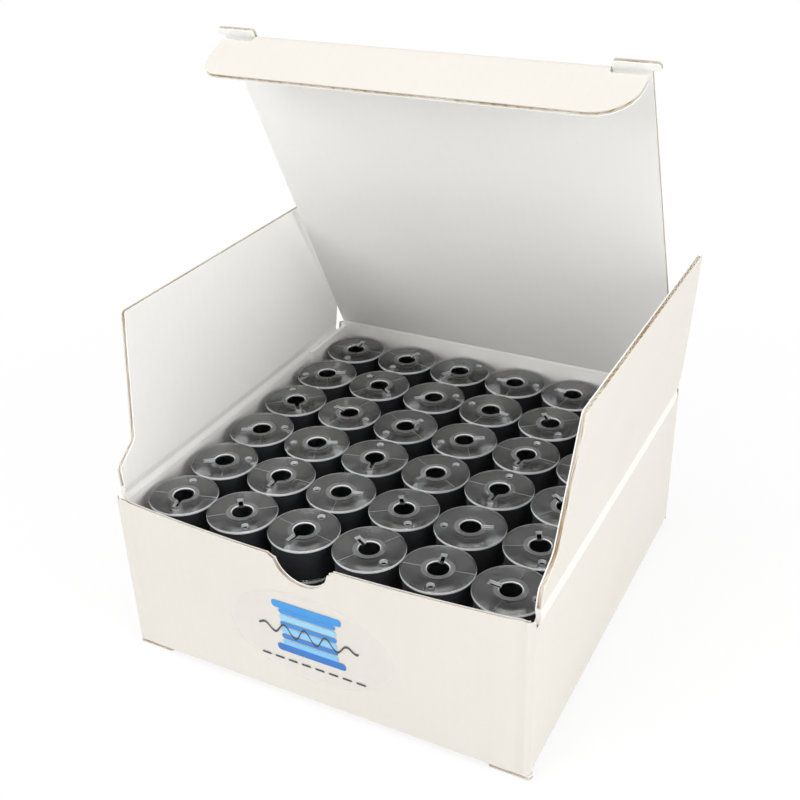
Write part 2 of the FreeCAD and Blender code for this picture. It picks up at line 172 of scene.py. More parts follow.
def face_towards(piece, way):
    """Turns an open sheet over if its middle face looks away from a direction."""
    open_mesh(piece)
    bpy.ops.mesh.select_all(action="SELECT")
    bpy.ops.mesh.normals_make_consistent(inside=False)
    close_mesh()
    middle = piece.data.polygons[len(piece.data.polygons) // 2]
    if middle.normal.dot(way) < 0:
        open_mesh(piece)
        bpy.ops.mesh.select_all(action="SELECT")
        bpy.ops.mesh.flip_normals()
        close_mesh()


def smooth(piece, degrees=35):
    only(piece)
    bpy.ops.object.shade_smooth_by_angle(angle=math.radians(degrees))


def join(name, pieces):
    """Joins several meshes into one piece with a name of its own."""
    only(pieces[0])
    for piece in pieces[1:]:
        piece.select_set(True)
    bpy.ops.object.join()
    pieces[0].name = name
    pieces[0].data.name = name
    return pieces[0]


def put_material(piece, *materials):
    piece.data.materials.clear()
    for material in materials:
        piece.data.materials.append(material)


print("modifier and joining helpers ready")

# %% Hands: drawing and scoring
ROUND_STEPS = 6


def start_point(name, place):
    """A single point to draw from: a small plane, merged at its middle. Its mesh stays open."""
    piece = new_piece(name, bpy.ops.mesh.primitive_plane_add, size=MM)
    open_mesh(piece)
    bpy.ops.mesh.select_all(action="SELECT")
    bpy.ops.mesh.merge(type="CENTER")
    bpy.ops.transform.translate(value=tuple(place))
    return piece


def draw_line(move):
    """Extrudes the selected point, as one stroke of a pen."""
    bpy.ops.mesh.extrude_vertices_move(TRANSFORM_OT_translate={"value": tuple(move)})


def sweep(path):
    """Extrudes all that has been drawn from point to point along a path."""
    bpy.ops.mesh.select_all(action="SELECT")
    for before, after in zip(path, path[1:]):
        bpy.ops.mesh.extrude_region_move(TRANSFORM_OT_translate={"value": tuple(after - before)})


def trace(name, outline, rounds=()):
    """Draws a flat outline by extruding one point along it, fills it and rounds some corners."""
    piece = start_point(name, (*outline[0], 0))
    for (x0, y0), (x1, y1) in zip(outline, outline[1:]):
        draw_line((x1 - x0, y1 - y0, 0))
    bpy.ops.mesh.select_all(action="SELECT")
    bpy.ops.mesh.edge_face_add()
    for place, radius in rounds:
        corner = Vector((*place, 0))
        pick(piece, lambda co: (co - corner).length < SAME_CORNER)
        bpy.ops.mesh.bevel(offset=radius, segments=ROUND_STEPS, affect="VERTICES")
    close_mesh()
    face_towards(piece, Z)
    return piece


def score(direction, places):
    """Scores straight lines across the whole open mesh, one at each place along a direction."""
    for place in places:
        bpy.ops.mesh.select_all(action="SELECT")
        bpy.ops.mesh.bisect(plane_co=direction * place, plane_no=direction)


def steps(low, high, size):
    count = max(1, round((high - low) / size))
    return [low + (high - low) * i / count for i in range(1, count)]


print("drawing helpers ready,", ROUND_STEPS, "steps to a round corner")

# %% [markdown]
# ## Finishes: paper, kraft, thread, plastic
# Several finishes share an effect, so each effect is one node group. Paper fibre is a fine cloudy
# noise that tints the white and lifts it a little. The washboard is the faint ribbing that the
# flutes inside print through the liner: a sine across the board, used as bump and, in the white
# paints, as a faint painted shade along the ribs. Both put out plain values, and the shader stays
# in each material.

# %% Node helpers
def add(tree, kind, sockets=(), **settings):
    """Adds a node, sets its values, and gives each socket a plain value or a wire."""
    node = tree.nodes.new(kind)
    for name, value in settings.items():
        setattr(node, name, value)
    for key, value in dict(sockets).items():
        if isinstance(value, bpy.types.NodeSocket):
            tree.links.new(value, node.inputs[key])
        else:
            node.inputs[key].default_value = value
    return node


def maths(tree, operation, *values):
    return add(tree, "ShaderNodeMath", enumerate(values), operation=operation).outputs[0]


def scaled(tree, value, factor, plus):
    """A value times a factor, plus a number or another value."""
    return maths(tree, "MULTIPLY_ADD", value, factor, plus)


def remap(tree, value, from_low, from_high, to_low=0.0, to_high=1.0, **settings):
    sockets = {0: value, 1: from_low, 2: from_high, 3: to_low, 4: to_high}
    return add(tree, "ShaderNodeMapRange", sockets, **settings).outputs[0]


def blend_colour(tree, factor, first, second):
    sockets = {0: factor, 6: first, 7: second}
    return add(tree, "ShaderNodeMix", sockets, data_type="RGBA").outputs[2]


def paint(name, **values):
    """A new material whose Principled shader has plain values set on its own sockets."""
    material = bpy.data.materials.new(name)
    material.use_nodes = True
    tree = material.node_tree
    shader = tree.nodes["Principled BSDF"]
    for label, value in values.items():
        shader.inputs[label.replace("_", " ")].default_value = value
    place = add(tree, "ShaderNodeTexCoord").outputs["Object"]
    return material, tree, shader, place


def vary_colour(tree, shader, mask, first, second):
    tree.links.new(blend_colour(tree, mask, first, second), shader.inputs["Base Color"])


def vary_roughness(tree, shader, mask, least, spread):
    tree.links.new(scaled(tree, mask, spread, least), shader.inputs["Roughness"])


def bump(tree, shader, height, distance):
    node = add(tree, "ShaderNodeBump", {"Height": height, "Distance": distance})
    tree.links.new(node.outputs["Normal"], shader.inputs["Normal"])


print("node helpers ready")

# %% Shared effects
FLUTE_PITCH = 3.3 * MM
CLOUD_SCALE = 38.0


def new_group(name, inputs, outputs):
    group = bpy.data.node_groups.new(name, "ShaderNodeTree")
    for label, kind, default in inputs:
        socket = group.interface.new_socket(label, in_out="INPUT", socket_type=kind)
        socket.default_value = default
    for label in outputs:
        group.interface.new_socket(label, in_out="OUTPUT", socket_type="NodeSocketFloat")
    start = group.nodes.new("NodeGroupInput").outputs
    end = group.nodes.new("NodeGroupOutput").inputs
    return group, start, end


def use_group(tree, group, **values):
    """Places a node group in a material, and gives back its outputs."""
    return add(tree, "ShaderNodeGroup", values, node_tree=group).outputs


def make_fibre_group():
    """Paper: clouds of tint, short fibres and their height."""
    group, start, end = new_group(
        "paper_fibre",
        [("Place", "NodeSocketVector", (0, 0, 0)), ("Fineness", "NodeSocketFloat", 900.0)],
        ["Cloud", "Fibre"],
    )
    cloud = add(group, "ShaderNodeTexNoise",
                {"Vector": start["Place"], "Scale": CLOUD_SCALE, "Detail": 4.0})
    fibre = add(group, "ShaderNodeTexNoise",
                {"Vector": start["Place"], "Scale": start["Fineness"], "Detail": 3.0,
                 "Distortion": 1.5})
    group.links.new(cloud.outputs[0], end["Cloud"])
    group.links.new(fibre.outputs[0], end["Fibre"])
    return group


def make_washboard_group():
    """The ribs of the flutes, seen faintly through the liner."""
    group, start, end = new_group(
        "washboard",
        [("Place", "NodeSocketVector", (0, 0, 0)), ("Across", "NodeSocketVector", (1, 0, 0)),
         ("Pitch", "NodeSocketFloat", FLUTE_PITCH)],
        ["Rib"],
    )
    along = add(group, "ShaderNodeVectorMath", {0: start["Place"], 1: start["Across"]},
                operation="DOT_PRODUCT").outputs["Value"]
    turns = maths(group, "DIVIDE", along, start["Pitch"])
    wave = maths(group, "SINE", maths(group, "MULTIPLY", turns, 2 * math.pi))
    group.links.new(scaled(group, wave, 0.5, 0.5), end["Rib"])
    return group


FIBRE = make_fibre_group()
WASHBOARD = make_washboard_group()
print("groups", FIBRE.name, WASHBOARD.name)

# %% [markdown]
# The carton's board has a warm coated face outside, a cooler one inside, and brown fluting between.
# The inside paint is set lighter than the outside: painted light that makes up for the light the
# shaded inside faces get less of. The two white paints exist twice, because the ribs run along the
# lid and the front and back walls one way, and along the side walls and flaps the other way.

# %% Board paints
OUTSIDE_LIGHT, OUTSIDE_DARK = (0.72, 0.692, 0.638, 1), (0.66, 0.632, 0.578, 1)
# The inside paint is lighter than the outside: painted light for the shaded inside faces.
INSIDE_LIGHT, INSIDE_DARK = (0.95, 0.94, 0.915, 1), (0.89, 0.88, 0.855, 1)
OUTSIDE_COAT, INSIDE_COAT = 0.12, 0.05
# The rib strength darkens the white along the flute ribs: painted shade of the washboard.
FIBRE_TINT, CLOUD_TINT, RIB_SHADE, TINT_START = 0.45, 0.75, 0.05, -0.1
FIBRE_LIFT, WHITE_RELIEF = 0.35, 0.014 * MM


def make_white(name, light, dark, across, coat):
    material, tree, shader, place = paint(name, Coat_Weight=coat, Coat_Roughness=0.35)
    fibre = use_group(tree, FIBRE, Place=place, Fineness=1100.0)
    ribs = use_group(tree, WASHBOARD, Place=place, Across=across)
    mottled = scaled(tree, fibre["Fibre"], FIBRE_TINT, TINT_START)
    clouded = scaled(tree, fibre["Cloud"], CLOUD_TINT, mottled)
    # Darker along each rib: painted shade of the washboard relief, besides its bump.
    rib_shaded = scaled(tree, ribs["Rib"], RIB_SHADE, clouded)
    vary_colour(tree, shader, rib_shaded, light, dark)
    vary_roughness(tree, shader, fibre["Fibre"], least=0.42, spread=0.25)
    bump(tree, shader, scaled(tree, fibre["Fibre"], FIBRE_LIFT, ribs["Rib"]), WHITE_RELIEF)
    return material


WHITE_X, WHITE_Y = (make_white(name, OUTSIDE_LIGHT, OUTSIDE_DARK, across, OUTSIDE_COAT)
                    for name, across in (("white_face_ribs_x", X), ("white_face_ribs_y", Y)))
INSIDE_X, INSIDE_Y = (make_white(name, INSIDE_LIGHT, INSIDE_DARK, across, INSIDE_COAT)
                      for name, across in (("inside_face_ribs_x", X), ("inside_face_ribs_y", Y)))
print("white paints", [m.name for m in (WHITE_X, WHITE_Y, INSIDE_X, INSIDE_Y)])

# %% Raw edge and crease paints
KRAFT_DARK, KRAFT_LIGHT = (0.40, 0.27, 0.14, 1), (0.64, 0.50, 0.33, 1)
CRUSHED = (0.80, 0.745, 0.645, 1)
# The crease face is lighter than the wall: a painted highlight along the bead; the cracks are its
# own darker colour.
CREASE_HIGHLIGHT, CREASE_CRACK = (0.85, 0.825, 0.77, 1), (0.68, 0.63, 0.55, 1)


def make_kraft():
    """Brown fluting, with pale stretches where the cut crushed the edge shut."""
    material, tree, shader, place = paint("kraft_fluting", Specular_IOR_Level=0.25)
    fibre = use_group(tree, FIBRE, Place=place, Fineness=1600.0)
    brown = blend_colour(tree, fibre["Fibre"], KRAFT_DARK, KRAFT_LIGHT)
    patches = add(tree, "ShaderNodeTexNoise", {"Vector": place, "Scale": 55.0, "Detail": 3.0})
    crushed = remap(tree, patches.outputs[0], 0.40, 0.60)
    vary_colour(tree, shader, crushed, brown, CRUSHED)
    vary_roughness(tree, shader, fibre["Cloud"], least=0.75, spread=0.2)
    bump(tree, shader, fibre["Fibre"], 0.06 * MM)
    return material


def make_crease():
    """The pressed line: the coating is polished and hair-cracked there, and its face is painted
    lighter than the wall as a highlight along the bead.
    """
    material, tree, shader, place = paint("pressed_crease", Coat_Weight=0.3, Coat_Roughness=0.25)
    fibre = use_group(tree, FIBRE, Place=place, Fineness=1400.0)
    cells = add(tree, "ShaderNodeTexVoronoi", {"Vector": place, "Scale": 900.0},
                feature="DISTANCE_TO_EDGE").outputs["Distance"]
    cracks = remap(tree, cells, 0.0, 0.05, to_low=0.55, to_high=0.0)
    mask = maths(tree, "MULTIPLY", cracks, fibre["Cloud"])
    vary_colour(tree, shader, mask, CREASE_HIGHLIGHT, CREASE_CRACK)
    vary_roughness(tree, shader, fibre["Fibre"], least=0.32, spread=0.2)
    bump(tree, shader, maths(tree, "SUBTRACT", fibre["Fibre"], mask), 0.03 * MM)
    return material


KRAFT = make_kraft()
CREASE = make_crease()
print("edge paints", KRAFT.name, CREASE.name)

# %% [markdown]
# ## Corrugated board
# A sheet of thin corrugated board is two flat liners with a wavy sheet between them, and every cut
# edge shows it. It could be painted on as a stripe, but then a close view is flat. So each panel is
# made of real sheets: the outline is traced once for each liner, and once more for the fluting,
# which is drawn in a little, scored into narrow strips, waved by a Displace modifier and thickened.
# The cut presses the fluting shut just behind the edge, so a plain sheet there closes its hollows.

# %% Board maker
BOARD = 1.5 * MM
LINER = 0.25 * MM
GAP = BOARD - 2 * LINER
FLUTE_SHEET = 0.2 * MM
FLUTE_RISE = GAP - FLUTE_SHEET
EDGE_SET_BACK, SHUT_BACK = 0.3 * MM, 0.7 * MM
SHUT_SHEET = GAP - 0.04 * MM
STRIPS_PER_FLUTE = 6


def draw_in(piece, distance):
    """Cuts a narrow strip off a flat sheet, all the way round."""
    open_mesh(piece, "FACE")
    bpy.ops.mesh.select_all(action="SELECT")
    bpy.ops.mesh.inset(thickness=distance)
    bpy.ops.mesh.select_all(action="INVERT")
    bpy.ops.mesh.delete(type="FACE")
    close_mesh()


def fill_gap(piece):
    """Thickens a flat sheet until it fills the space between the liners."""
    apply_modifier(piece, "SOLIDIFY", thickness=SHUT_SHEET, offset=0.0)
    put_material(piece, KRAFT)


def flute_share(co):
    return 0.5 + 0.5 * math.sin(2 * math.pi * co.x / FLUTE_PITCH)


def wave_sheet(piece, low, high):
    """Turns a flat sheet into fluting: waves across x, up and down between the liners."""
    draw_in(piece, EDGE_SET_BACK)
    open_mesh(piece, "FACE")
    score(X, steps(low, high, FLUTE_PITCH / STRIPS_PER_FLUTE))
    close_mesh()
    displace(piece, "Z", FLUTE_RISE, flute_share)
    piece.location.z = -FLUTE_RISE / 2
    settle(piece)
    apply_modifier(piece, "SOLIDIFY", thickness=FLUTE_SHEET, offset=0.0)
    put_material(piece, KRAFT)


def board(name, outline, rounds, outside, inside):
    """A flat panel of board about z = 0, its outer face up, its flutes along y."""
    sheets = []
    for level, side, finish in ((GAP / 2, 1.0, outside), (-GAP / 2, -1.0, inside)):
        liner = trace(name, outline, rounds)
        apply_modifier(liner, "SOLIDIFY", thickness=LINER, offset=side)
        liner.location.z = level
        settle(liner)
        put_material(liner, finish)
        sheets.append(liner)
    core = trace(name, outline, rounds)
    wave_sheet(core, min(x for x, _ in outline), max(x for x, _ in outline))
    shut = trace(name, outline, rounds)
    draw_in(shut, SHUT_BACK)
    fill_gap(shut)
    piece = join(name, [*sheets, core, shut])
    smooth(piece)
    print(name, len(piece.data.polygons), "faces")
    return piece


def both_sides(right):
    """Closes one half of an outline with its mirror image."""
    return right + [(-x, y) for x, y in reversed(right)]


# %% [markdown]
# The panels hang together at creases, which are the hinges of the CAD model. Their places are read
# from it, so that each panel starts where its body turns. The bottom is folded like the lid.

# %% Where the creases are
JOINTS = {joint["name"]: joint for joint in frame["joints"]}


def crease_place(name):
    return Vector(JOINTS[name]["pos_m"])


LID_ANGLE = math.radians(64)
LEFT_LEAN, RIGHT_LEAN = math.radians(3.3), math.radians(5.0)
FLAP_CLEARANCE = 0.1 * MM
LID_AXIS = crease_place("lid_hinge")
TUCK_AXIS = crease_place("lid_tuck_fold")
LEFT_AXIS = crease_place("dust_flap_left_fold")
RIGHT_AXIS = crease_place("dust_flap_right_fold")
LID_REACH = (TUCK_AXIS - LID_AXIS).length
BOTTOM_AXIS = Vector((0, LID_AXIS.y, BOARD / 2))
BOTTOM_TUCK_AXIS = BOTTOM_AXIS - Y * LID_REACH
BOTTOM_FLAP_Z = BOARD / 2 + BOARD + FLAP_CLEARANCE
LOW_LEFT_AXIS = Vector((LEFT_AXIS.x, 0, BOTTOM_FLAP_Z))
LOW_RIGHT_AXIS = Vector((RIGHT_AXIS.x, 0, BOTTOM_FLAP_Z))

LID_ALONG = Vector((0, -math.cos(LID_ANGLE), math.sin(LID_ANGLE)))
TUCK_ALONG = Vector((0, -math.sin(LID_ANGLE), -math.cos(LID_ANGLE)))
LEFT_ALONG = Vector((-math.sin(LEFT_LEAN), 0, math.cos(LEFT_LEAN)))
RIGHT_ALONG = Vector((math.sin(RIGHT_LEAN), 0, math.cos(RIGHT_LEAN)))
CREASE_HALF = 1.2 * MM
BEAD, BEAD_HALF = 0.45 * MM, 2.4 * MM
print("lid reach", round(LID_REACH, 4))

# %% [markdown]
# ## The lid and the bottom
# Both are the same panel, cut twice from the blank: a plain board with two ears that stay flat when
# the tuck flap folds. The ears could be boards of their own, but then a seam would show between ear
# and lid. So the outline is traced with the ears in it, and their corners are rounded.

# %% Lid panel and bottom panel
LID_HALF = 62.6 * MM
EAR_OUT, EAR_IN = 64.9 * MM, 52.6 * MM
EAR_SHOULDER, EAR_REACH = 0.55 * MM, 2.55 * MM
EAR_OUT_ROUND, EAR_IN_ROUND = 1.1 * MM, 0.9 * MM


def closure_board(name):
    top, low = LID_REACH + EAR_REACH, LID_REACH + EAR_SHOULDER
    fold = LID_REACH - CREASE_HALF
    outline = both_sides([(LID_HALF, CREASE_HALF), (LID_HALF, low), (EAR_OUT, low),
                          (EAR_OUT, top), (EAR_IN, top), (EAR_IN, fold)])
    rounds = [((side * x, top), radius)
              for x, radius in ((EAR_OUT, EAR_OUT_ROUND), (EAR_IN, EAR_IN_ROUND))
              for side in (1, -1)]
    return board(name, outline, rounds, WHITE_X, INSIDE_X)


lid = closure_board("lid_board")
stand(lid, LID_AXIS, -X, LID_ALONG)
bottom = closure_board("bottom_board")
stand(bottom, BOTTOM_AXIS, X, -Y)

# %% [markdown]
# ## The tuck flaps
# A tuck flap slides in behind the front wall, so its free corners are well rounded, and beside the
# fold it steps in to leave the ears free. The step is a small S curve on the real flap, which comes
# from rounding both of its corners.

# %% Tuck flaps
TUCK_HALF, TAB_HALF = 62.5 * MM, 52.3 * MM
TUCK_LENGTH, TUCK_SLIT = 17.5 * MM, 2.75 * MM
TAB_ROUND, SLIT_ROUND = 1.3 * MM, 0.6 * MM
LID_TUCK_ROUNDS = 5.8 * MM, 11.5 * MM
BOTTOM_TUCK_ROUNDS = 7.0 * MM, 7.0 * MM


def tuck_board(name, end_rounds):
    outline = both_sides([(TAB_HALF, CREASE_HALF), (TAB_HALF, TUCK_SLIT),
                          (TUCK_HALF, TUCK_SLIT), (TUCK_HALF, TUCK_LENGTH)])
    rounds = []
    for side, end_round in zip((1, -1), end_rounds):
        rounds += [((side * TAB_HALF, TUCK_SLIT), TAB_ROUND),
                   ((side * TUCK_HALF, TUCK_SLIT), SLIT_ROUND),
                   ((side * TUCK_HALF, TUCK_LENGTH), end_round)]
    return board(name, outline, rounds, WHITE_X, INSIDE_X)


lid_tuck = tuck_board("lid_tuck_board", LID_TUCK_ROUNDS)
stand(lid_tuck, TUCK_AXIS, -X, TUCK_ALONG)
bottom_tuck = tuck_board("bottom_tuck_board", BOTTOM_TUCK_ROUNDS)
stand(bottom_tuck, BOTTOM_TUCK_AXIS, X, Z)

# %% [markdown]
# ## The dust flaps
# A dust flap has a lock shoulder in front, which catches the closed lid, then a long taper, and
# behind a plain taper with a relief cut at its foot. One outline serves all four, so that they stay
# alike when a size changes; two of them are its mirror image.

# %% Dust flaps
FLAP_FRONT, FLAP_BACK = -61.9 * MM, 62.5 * MM
FLAP_HEIGHT = 51.5 * MM
LOCK_HEIGHT, LOCK_RUN, LOCK_RISE = 8.5 * MM, 8.0 * MM, 5.5 * MM
FRONT_TAPER, BACK_TAPER_START, BACK_TAPER = 6.6 * MM, 10.0 * MM, 5.8 * MM
FLAP_FOOT = FLAP_BACK - 2.4 * MM
LOCK_ROUND, NECK_ROUND, TOP_ROUND, BACK_ROUND = 1.0 * MM, 1.4 * MM, 0.8 * MM, 2.0 * MM


def dust_board(name, side, start):
    lock_y, lock_top = FLAP_FRONT + LOCK_RUN, LOCK_HEIGHT + LOCK_RISE
    corners = [
        (FLAP_FRONT, start, 0), (FLAP_FRONT, LOCK_HEIGHT, LOCK_ROUND),
        (lock_y, lock_top, NECK_ROUND), (lock_y + FRONT_TAPER, FLAP_HEIGHT, TOP_ROUND),
        (FLAP_BACK - BACK_TAPER, FLAP_HEIGHT, TOP_ROUND),
        (FLAP_BACK, BACK_TAPER_START, BACK_ROUND), (FLAP_FOOT, start, 0),
    ]
    outline = [(side * y, height) for y, height, _ in corners]
    rounds = [((side * y, height), radius) for y, height, radius in corners if radius]
    return board(name, outline, rounds, WHITE_Y, INSIDE_Y)


left_flap = dust_board("left_flap_board", -1, BEAD_HALF)
stand(left_flap, LEFT_AXIS, -Y, LEFT_ALONG)
right_flap = dust_board("right_flap_board", 1, BEAD_HALF)
stand(right_flap, RIGHT_AXIS, Y, RIGHT_ALONG)
low_left = dust_board("bottom_left_flap_board", 1, CREASE_HALF)
stand(low_left, LOW_LEFT_AXIS, Y, X)
low_right = dust_board("bottom_right_flap_board", -1, CREASE_HALF)
stand(low_right, LOW_RIGHT_AXIS, -Y, -X)

# %% [markdown]
# ## The wall sleeve
# The four walls are one strip of board, folded round and glued. Four boards could stand edge to
# edge, but then the corners would be sharp. So they are modelled as one sleeve: a box without top
# and bottom whose upright edges are bevelled into soft creases. Each liner is such a sleeve. The
# front wall is pushed out along its rim by what is inside, which a Displace modifier gives with a
# weight that grows towards the middle of the rim; another one presses a soft line beside each
# corner. Two flattened cylinders cut the thumb notch, and the inner liner is pinched towards the
# outer one along the cut, as a blunt knife leaves it.

# %% Front wall: bow, pressed lines, rim and notch
front_low, front_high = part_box("front_wall")
OUTER_X, OUTER_Y = front_high.x, 65.5 * MM
RIM_Z, FOOT_Z = front_high.z, front_low.z
FRONT_DEPTH = 4 * MM
BOW = 3.6 * MM
NOTCH_CUTS = ((8.4 * MM, 8.4 * MM), (10.0 * MM, 2.6 * MM))
NOTCH_SINK, NOTCH_THROUGH = 0.1 * MM, 20 * MM
PRESS_PLACE, PRESS_HALF, PRESS_DEPTH = 3.8 * MM, 1.9 * MM, 0.3 * MM
PINCH_BAND, PINCH_FADE, PINCH_SHARE = 0.8 * MM, 1.6 * MM, 0.6


def on_front(co):
    return co.y < -OUTER_Y + FRONT_DEPTH


def bow_share(co):
    """How far out a point of the front wall stands: most at the middle of the rim."""
    across = 1 - min(1.0, abs(co.x) / OUTER_X) ** 2
    return across * (co.z - FOOT_Z) / (RIM_Z - FOOT_Z) if on_front(co) else 0.0


def press_share(co):
    """A soft line beside each upright corner of the front, where the board was scored."""
    off = abs(abs(co.x) - (OUTER_X - PRESS_PLACE)) / PRESS_HALF
    return 1 - off * off if off < 1 and on_front(co) else 0.0


def pinch_rim(piece):
    """The cut presses the inner liner towards the outer one along the front's rim."""
    open_mesh(piece)
    pick(piece, lambda co: co.z > RIM_Z - PINCH_BAND and on_front(co))
    bpy.ops.transform.resize(value=(1, PINCH_SHARE, 1), center_override=(0, LINER - OUTER_Y, 0))
    close_mesh()


def cut_notch(piece, extra):
    """A half-moon, and a wider, shallow one that eases its two corners into the rim."""
    for half_width, depth in NOTCH_CUTS:
        cutter = new_piece(
            "notch", bpy.ops.mesh.primitive_cylinder_add, vertices=96, radius=1,
            depth=NOTCH_THROUGH, location=(0, -OUTER_Y, RIM_Z - NOTCH_SINK),
            rotation=(math.pi / 2, 0, 0), scale=(half_width + extra, depth + extra, 1))
        cut_with(piece, cutter)


def shape_front(piece, extra=0.0):
    cut_notch(piece, extra)
    displace(piece, "Y", -BOW, bow_share)
    displace(piece, "Y", PRESS_DEPTH, press_share)


print("rim at", round(RIM_Z, 4))

# %% Wall liners
SIDE_TOP, SIDE_FOOT = LEFT_AXIS.z - BEAD_HALF, BOTTOM_FLAP_Z + CREASE_HALF
BACK_TOP, BACK_FOOT = LID_AXIS.z - CREASE_HALF, BOTTOM_AXIS.z + CREASE_HALF
OUTER_CORNER, INNER_CORNER = 1.9 * MM, 0.5 * MM
CORNER_STEPS, PRESS_STEPS = 7, 3
CORNER_MARGIN = 0.2 * MM
WALL_STEP_X, WALL_STEP_Z = 5 * MM, 6 * MM
HAIR = 0.01 * MM
SIDEWAYS = 0.7


def wall_tube(name, half_x, half_y, radius):
    """A box without top and bottom, its upright edges rounded and its faces scored."""
    height = RIM_Z - FOOT_Z
    piece = new_piece(name, bpy.ops.mesh.primitive_cube_add, size=1,
                      location=(0, 0, FOOT_Z + height / 2),
                      scale=(2 * half_x, 2 * half_y, height))
    open_mesh(piece, "FACE")
    pick(piece, lambda co: abs(co.x) < MM and abs(co.y) < MM, "faces")
    bpy.ops.mesh.delete(type="ONLY_FACE")
    bpy.ops.mesh.select_mode(type="EDGE")
    pick(piece, lambda co: abs(co.x) > half_x - MM and abs(co.y) > half_y - MM, "edges")
    bpy.ops.mesh.bevel(offset=radius, segments=CORNER_STEPS, affect="EDGES")
    bpy.ops.mesh.select_mode(type="VERT")
    score(X, steps(-half_x, half_x, WALL_STEP_X))
    for side in (1, -1):
        score(X, [side * (OUTER_X - PRESS_PLACE + PRESS_HALF * i / PRESS_STEPS)
                  for i in range(-PRESS_STEPS, PRESS_STEPS + 1)])
    score(Z, steps(FOOT_Z, RIM_Z, WALL_STEP_Z))
    close_mesh()
    return piece


def wall_liner(name, set_in, radius, offset, pinched, face_x, face_y):
    half_x, half_y = OUTER_X - set_in, OUTER_Y - set_in
    piece = wall_tube(name, half_x, half_y, radius)
    open_mesh(piece)
    back_y = half_y - radius - CORNER_MARGIN
    for edge, side_edge, back_edge in ((RIM_Z, SIDE_TOP, BACK_TOP), (FOOT_Z, SIDE_FOOT, BACK_FOOT)):
        pick(piece, lambda co: abs(co.x) > half_x - HAIR and abs(co.z - edge) < HAIR)
        bpy.ops.transform.translate(value=(0, 0, side_edge - edge))
        pick(piece, lambda co: co.y > back_y and abs(co.z - edge) < HAIR)
        bpy.ops.transform.translate(value=(0, 0, back_edge - edge))
    score(Z, [RIM_Z - PINCH_FADE])
    close_mesh()
    apply_modifier(piece, "SOLIDIFY", thickness=LINER, offset=offset)
    if pinched:
        pinch_rim(piece)
    shape_front(piece)
    put_material(piece, face_x, face_y)
    for face in piece.data.polygons:
        face.material_index = 1 if abs(face.normal.x) > SIDEWAYS else 0
    return piece


outer_wall = wall_liner("outer", 0.0, OUTER_CORNER, offset=-1.0, pinched=False,
                        face_x=WHITE_X, face_y=WHITE_Y)
inner_wall = wall_liner("inner", BOARD, INNER_CORNER, offset=1.0, pinched=True,
                        face_x=INSIDE_X, face_y=INSIDE_Y)
print("liners", len(outer_wall.data.polygons), len(inner_wall.data.polygons), "faces")

# %% Fluting in the rim, and the whole sleeve
CORE_SHORT, CORE_DEPTH = 2.2 * MM, 14 * MM


def rim_core():
    """The fluting that shows in the front wall's rim and round the notch."""
    half = OUTER_X - CORE_SHORT
    outline = [(-half, -CORE_DEPTH), (half, -CORE_DEPTH), (half, 0), (-half, 0)]
    strip, shut = trace("rim", outline), trace("rim_shut", outline)
    wave_sheet(strip, -half, half)
    draw_in(shut, SHUT_BACK)
    open_mesh(shut)
    score(X, steps(-half, half, FLUTE_PITCH))
    close_mesh()
    fill_gap(shut)
    for sheet, set_back in ((strip, EDGE_SET_BACK), (shut, SHUT_BACK)):
        stand(sheet, Vector((0, -OUTER_Y + BOARD / 2, RIM_Z)), X, Z)
        pinch_rim(sheet)
        shape_front(sheet, set_back)
    return strip, shut


walls = join("wall_sleeve", [outer_wall, inner_wall, *rim_core()])
smooth(walls)
print("walls", len(walls.data.polygons), "faces")

# %% [markdown]
# ## Creases
# Where two panels meet, the board bends on a pressed line. A bevel between two joined panels would
# do for a box that stays open, but these flaps move. So each crease is its own short strip: an edge
# is extruded along an arc that leaves one panel and meets the other, then thickened, and its inner
# face gets the inside's paint. At the lid, the tuck and the dust flaps the strip lies between two
# moving bodies. The dust flaps' creases stand up in a polished bead.

# %% Crease strips
BEND_STEPS = 12
STRIP_STEP = 6 * MM
LID_CROWN = 0.2 * MM
INWARDS = -0.3

LID_FOLD = (LID_AXIS, Z, LID_ALONG, CREASE_HALF)
TUCK_FOLD = (TUCK_AXIS, LID_ALONG, TUCK_ALONG, CREASE_HALF)
LEFT_FOLD = (LEFT_AXIS, Z, LEFT_ALONG, BEAD_HALF)
RIGHT_FOLD = (RIGHT_AXIS, Z, RIGHT_ALONG, BEAD_HALF)


def bend_path(fold, outside, crown):
    """Points on an arc that leaves one panel and meets the next, raised by a crown in between."""
    axis, from_way, to_way, half = fold
    bend = from_way.angle(to_way)
    turn_axis = from_way.cross(to_way).normalized()
    chord = 2 * half / math.tan(bend / 2) * math.sin(bend / BEND_STEPS / 2)
    points = [axis - from_way * half]
    for i in range(BEND_STEPS):
        way = Matrix.Rotation(bend * (i + 0.5) / BEND_STEPS, 3, turn_axis) @ from_way
        points.append(points[-1] + way * chord)
    return [point + outside * (crown * math.sin(math.pi * i / BEND_STEPS) ** 2)
            for i, point in enumerate(points)]


def crease(name, fold, line, low, high, outside=None, crown=0.0, faces=(WHITE_X, INSIDE_X)):
    """A strip of board along a line that bends from one panel's direction to the next one's."""
    if outside is None:
        outside = (fold[1] - fold[2]).normalized()
    path = bend_path(fold, outside, crown)
    piece = start_point(name, path[0] + line * low)
    draw_line(line * (high - low))
    sweep(path)
    score(line, steps(low, high, STRIP_STEP))
    close_mesh()
    face_towards(piece, outside)
    apply_modifier(piece, "SOLIDIFY", thickness=BOARD, offset=0.0, use_even_offset=True)
    put_material(piece, *faces)
    for face in piece.data.polygons:
        face.material_index = 1 if face.normal.dot(outside) < INWARDS else 0
    smooth(piece, 60)
    print(name, len(piece.data.polygons), "faces")
    return piece


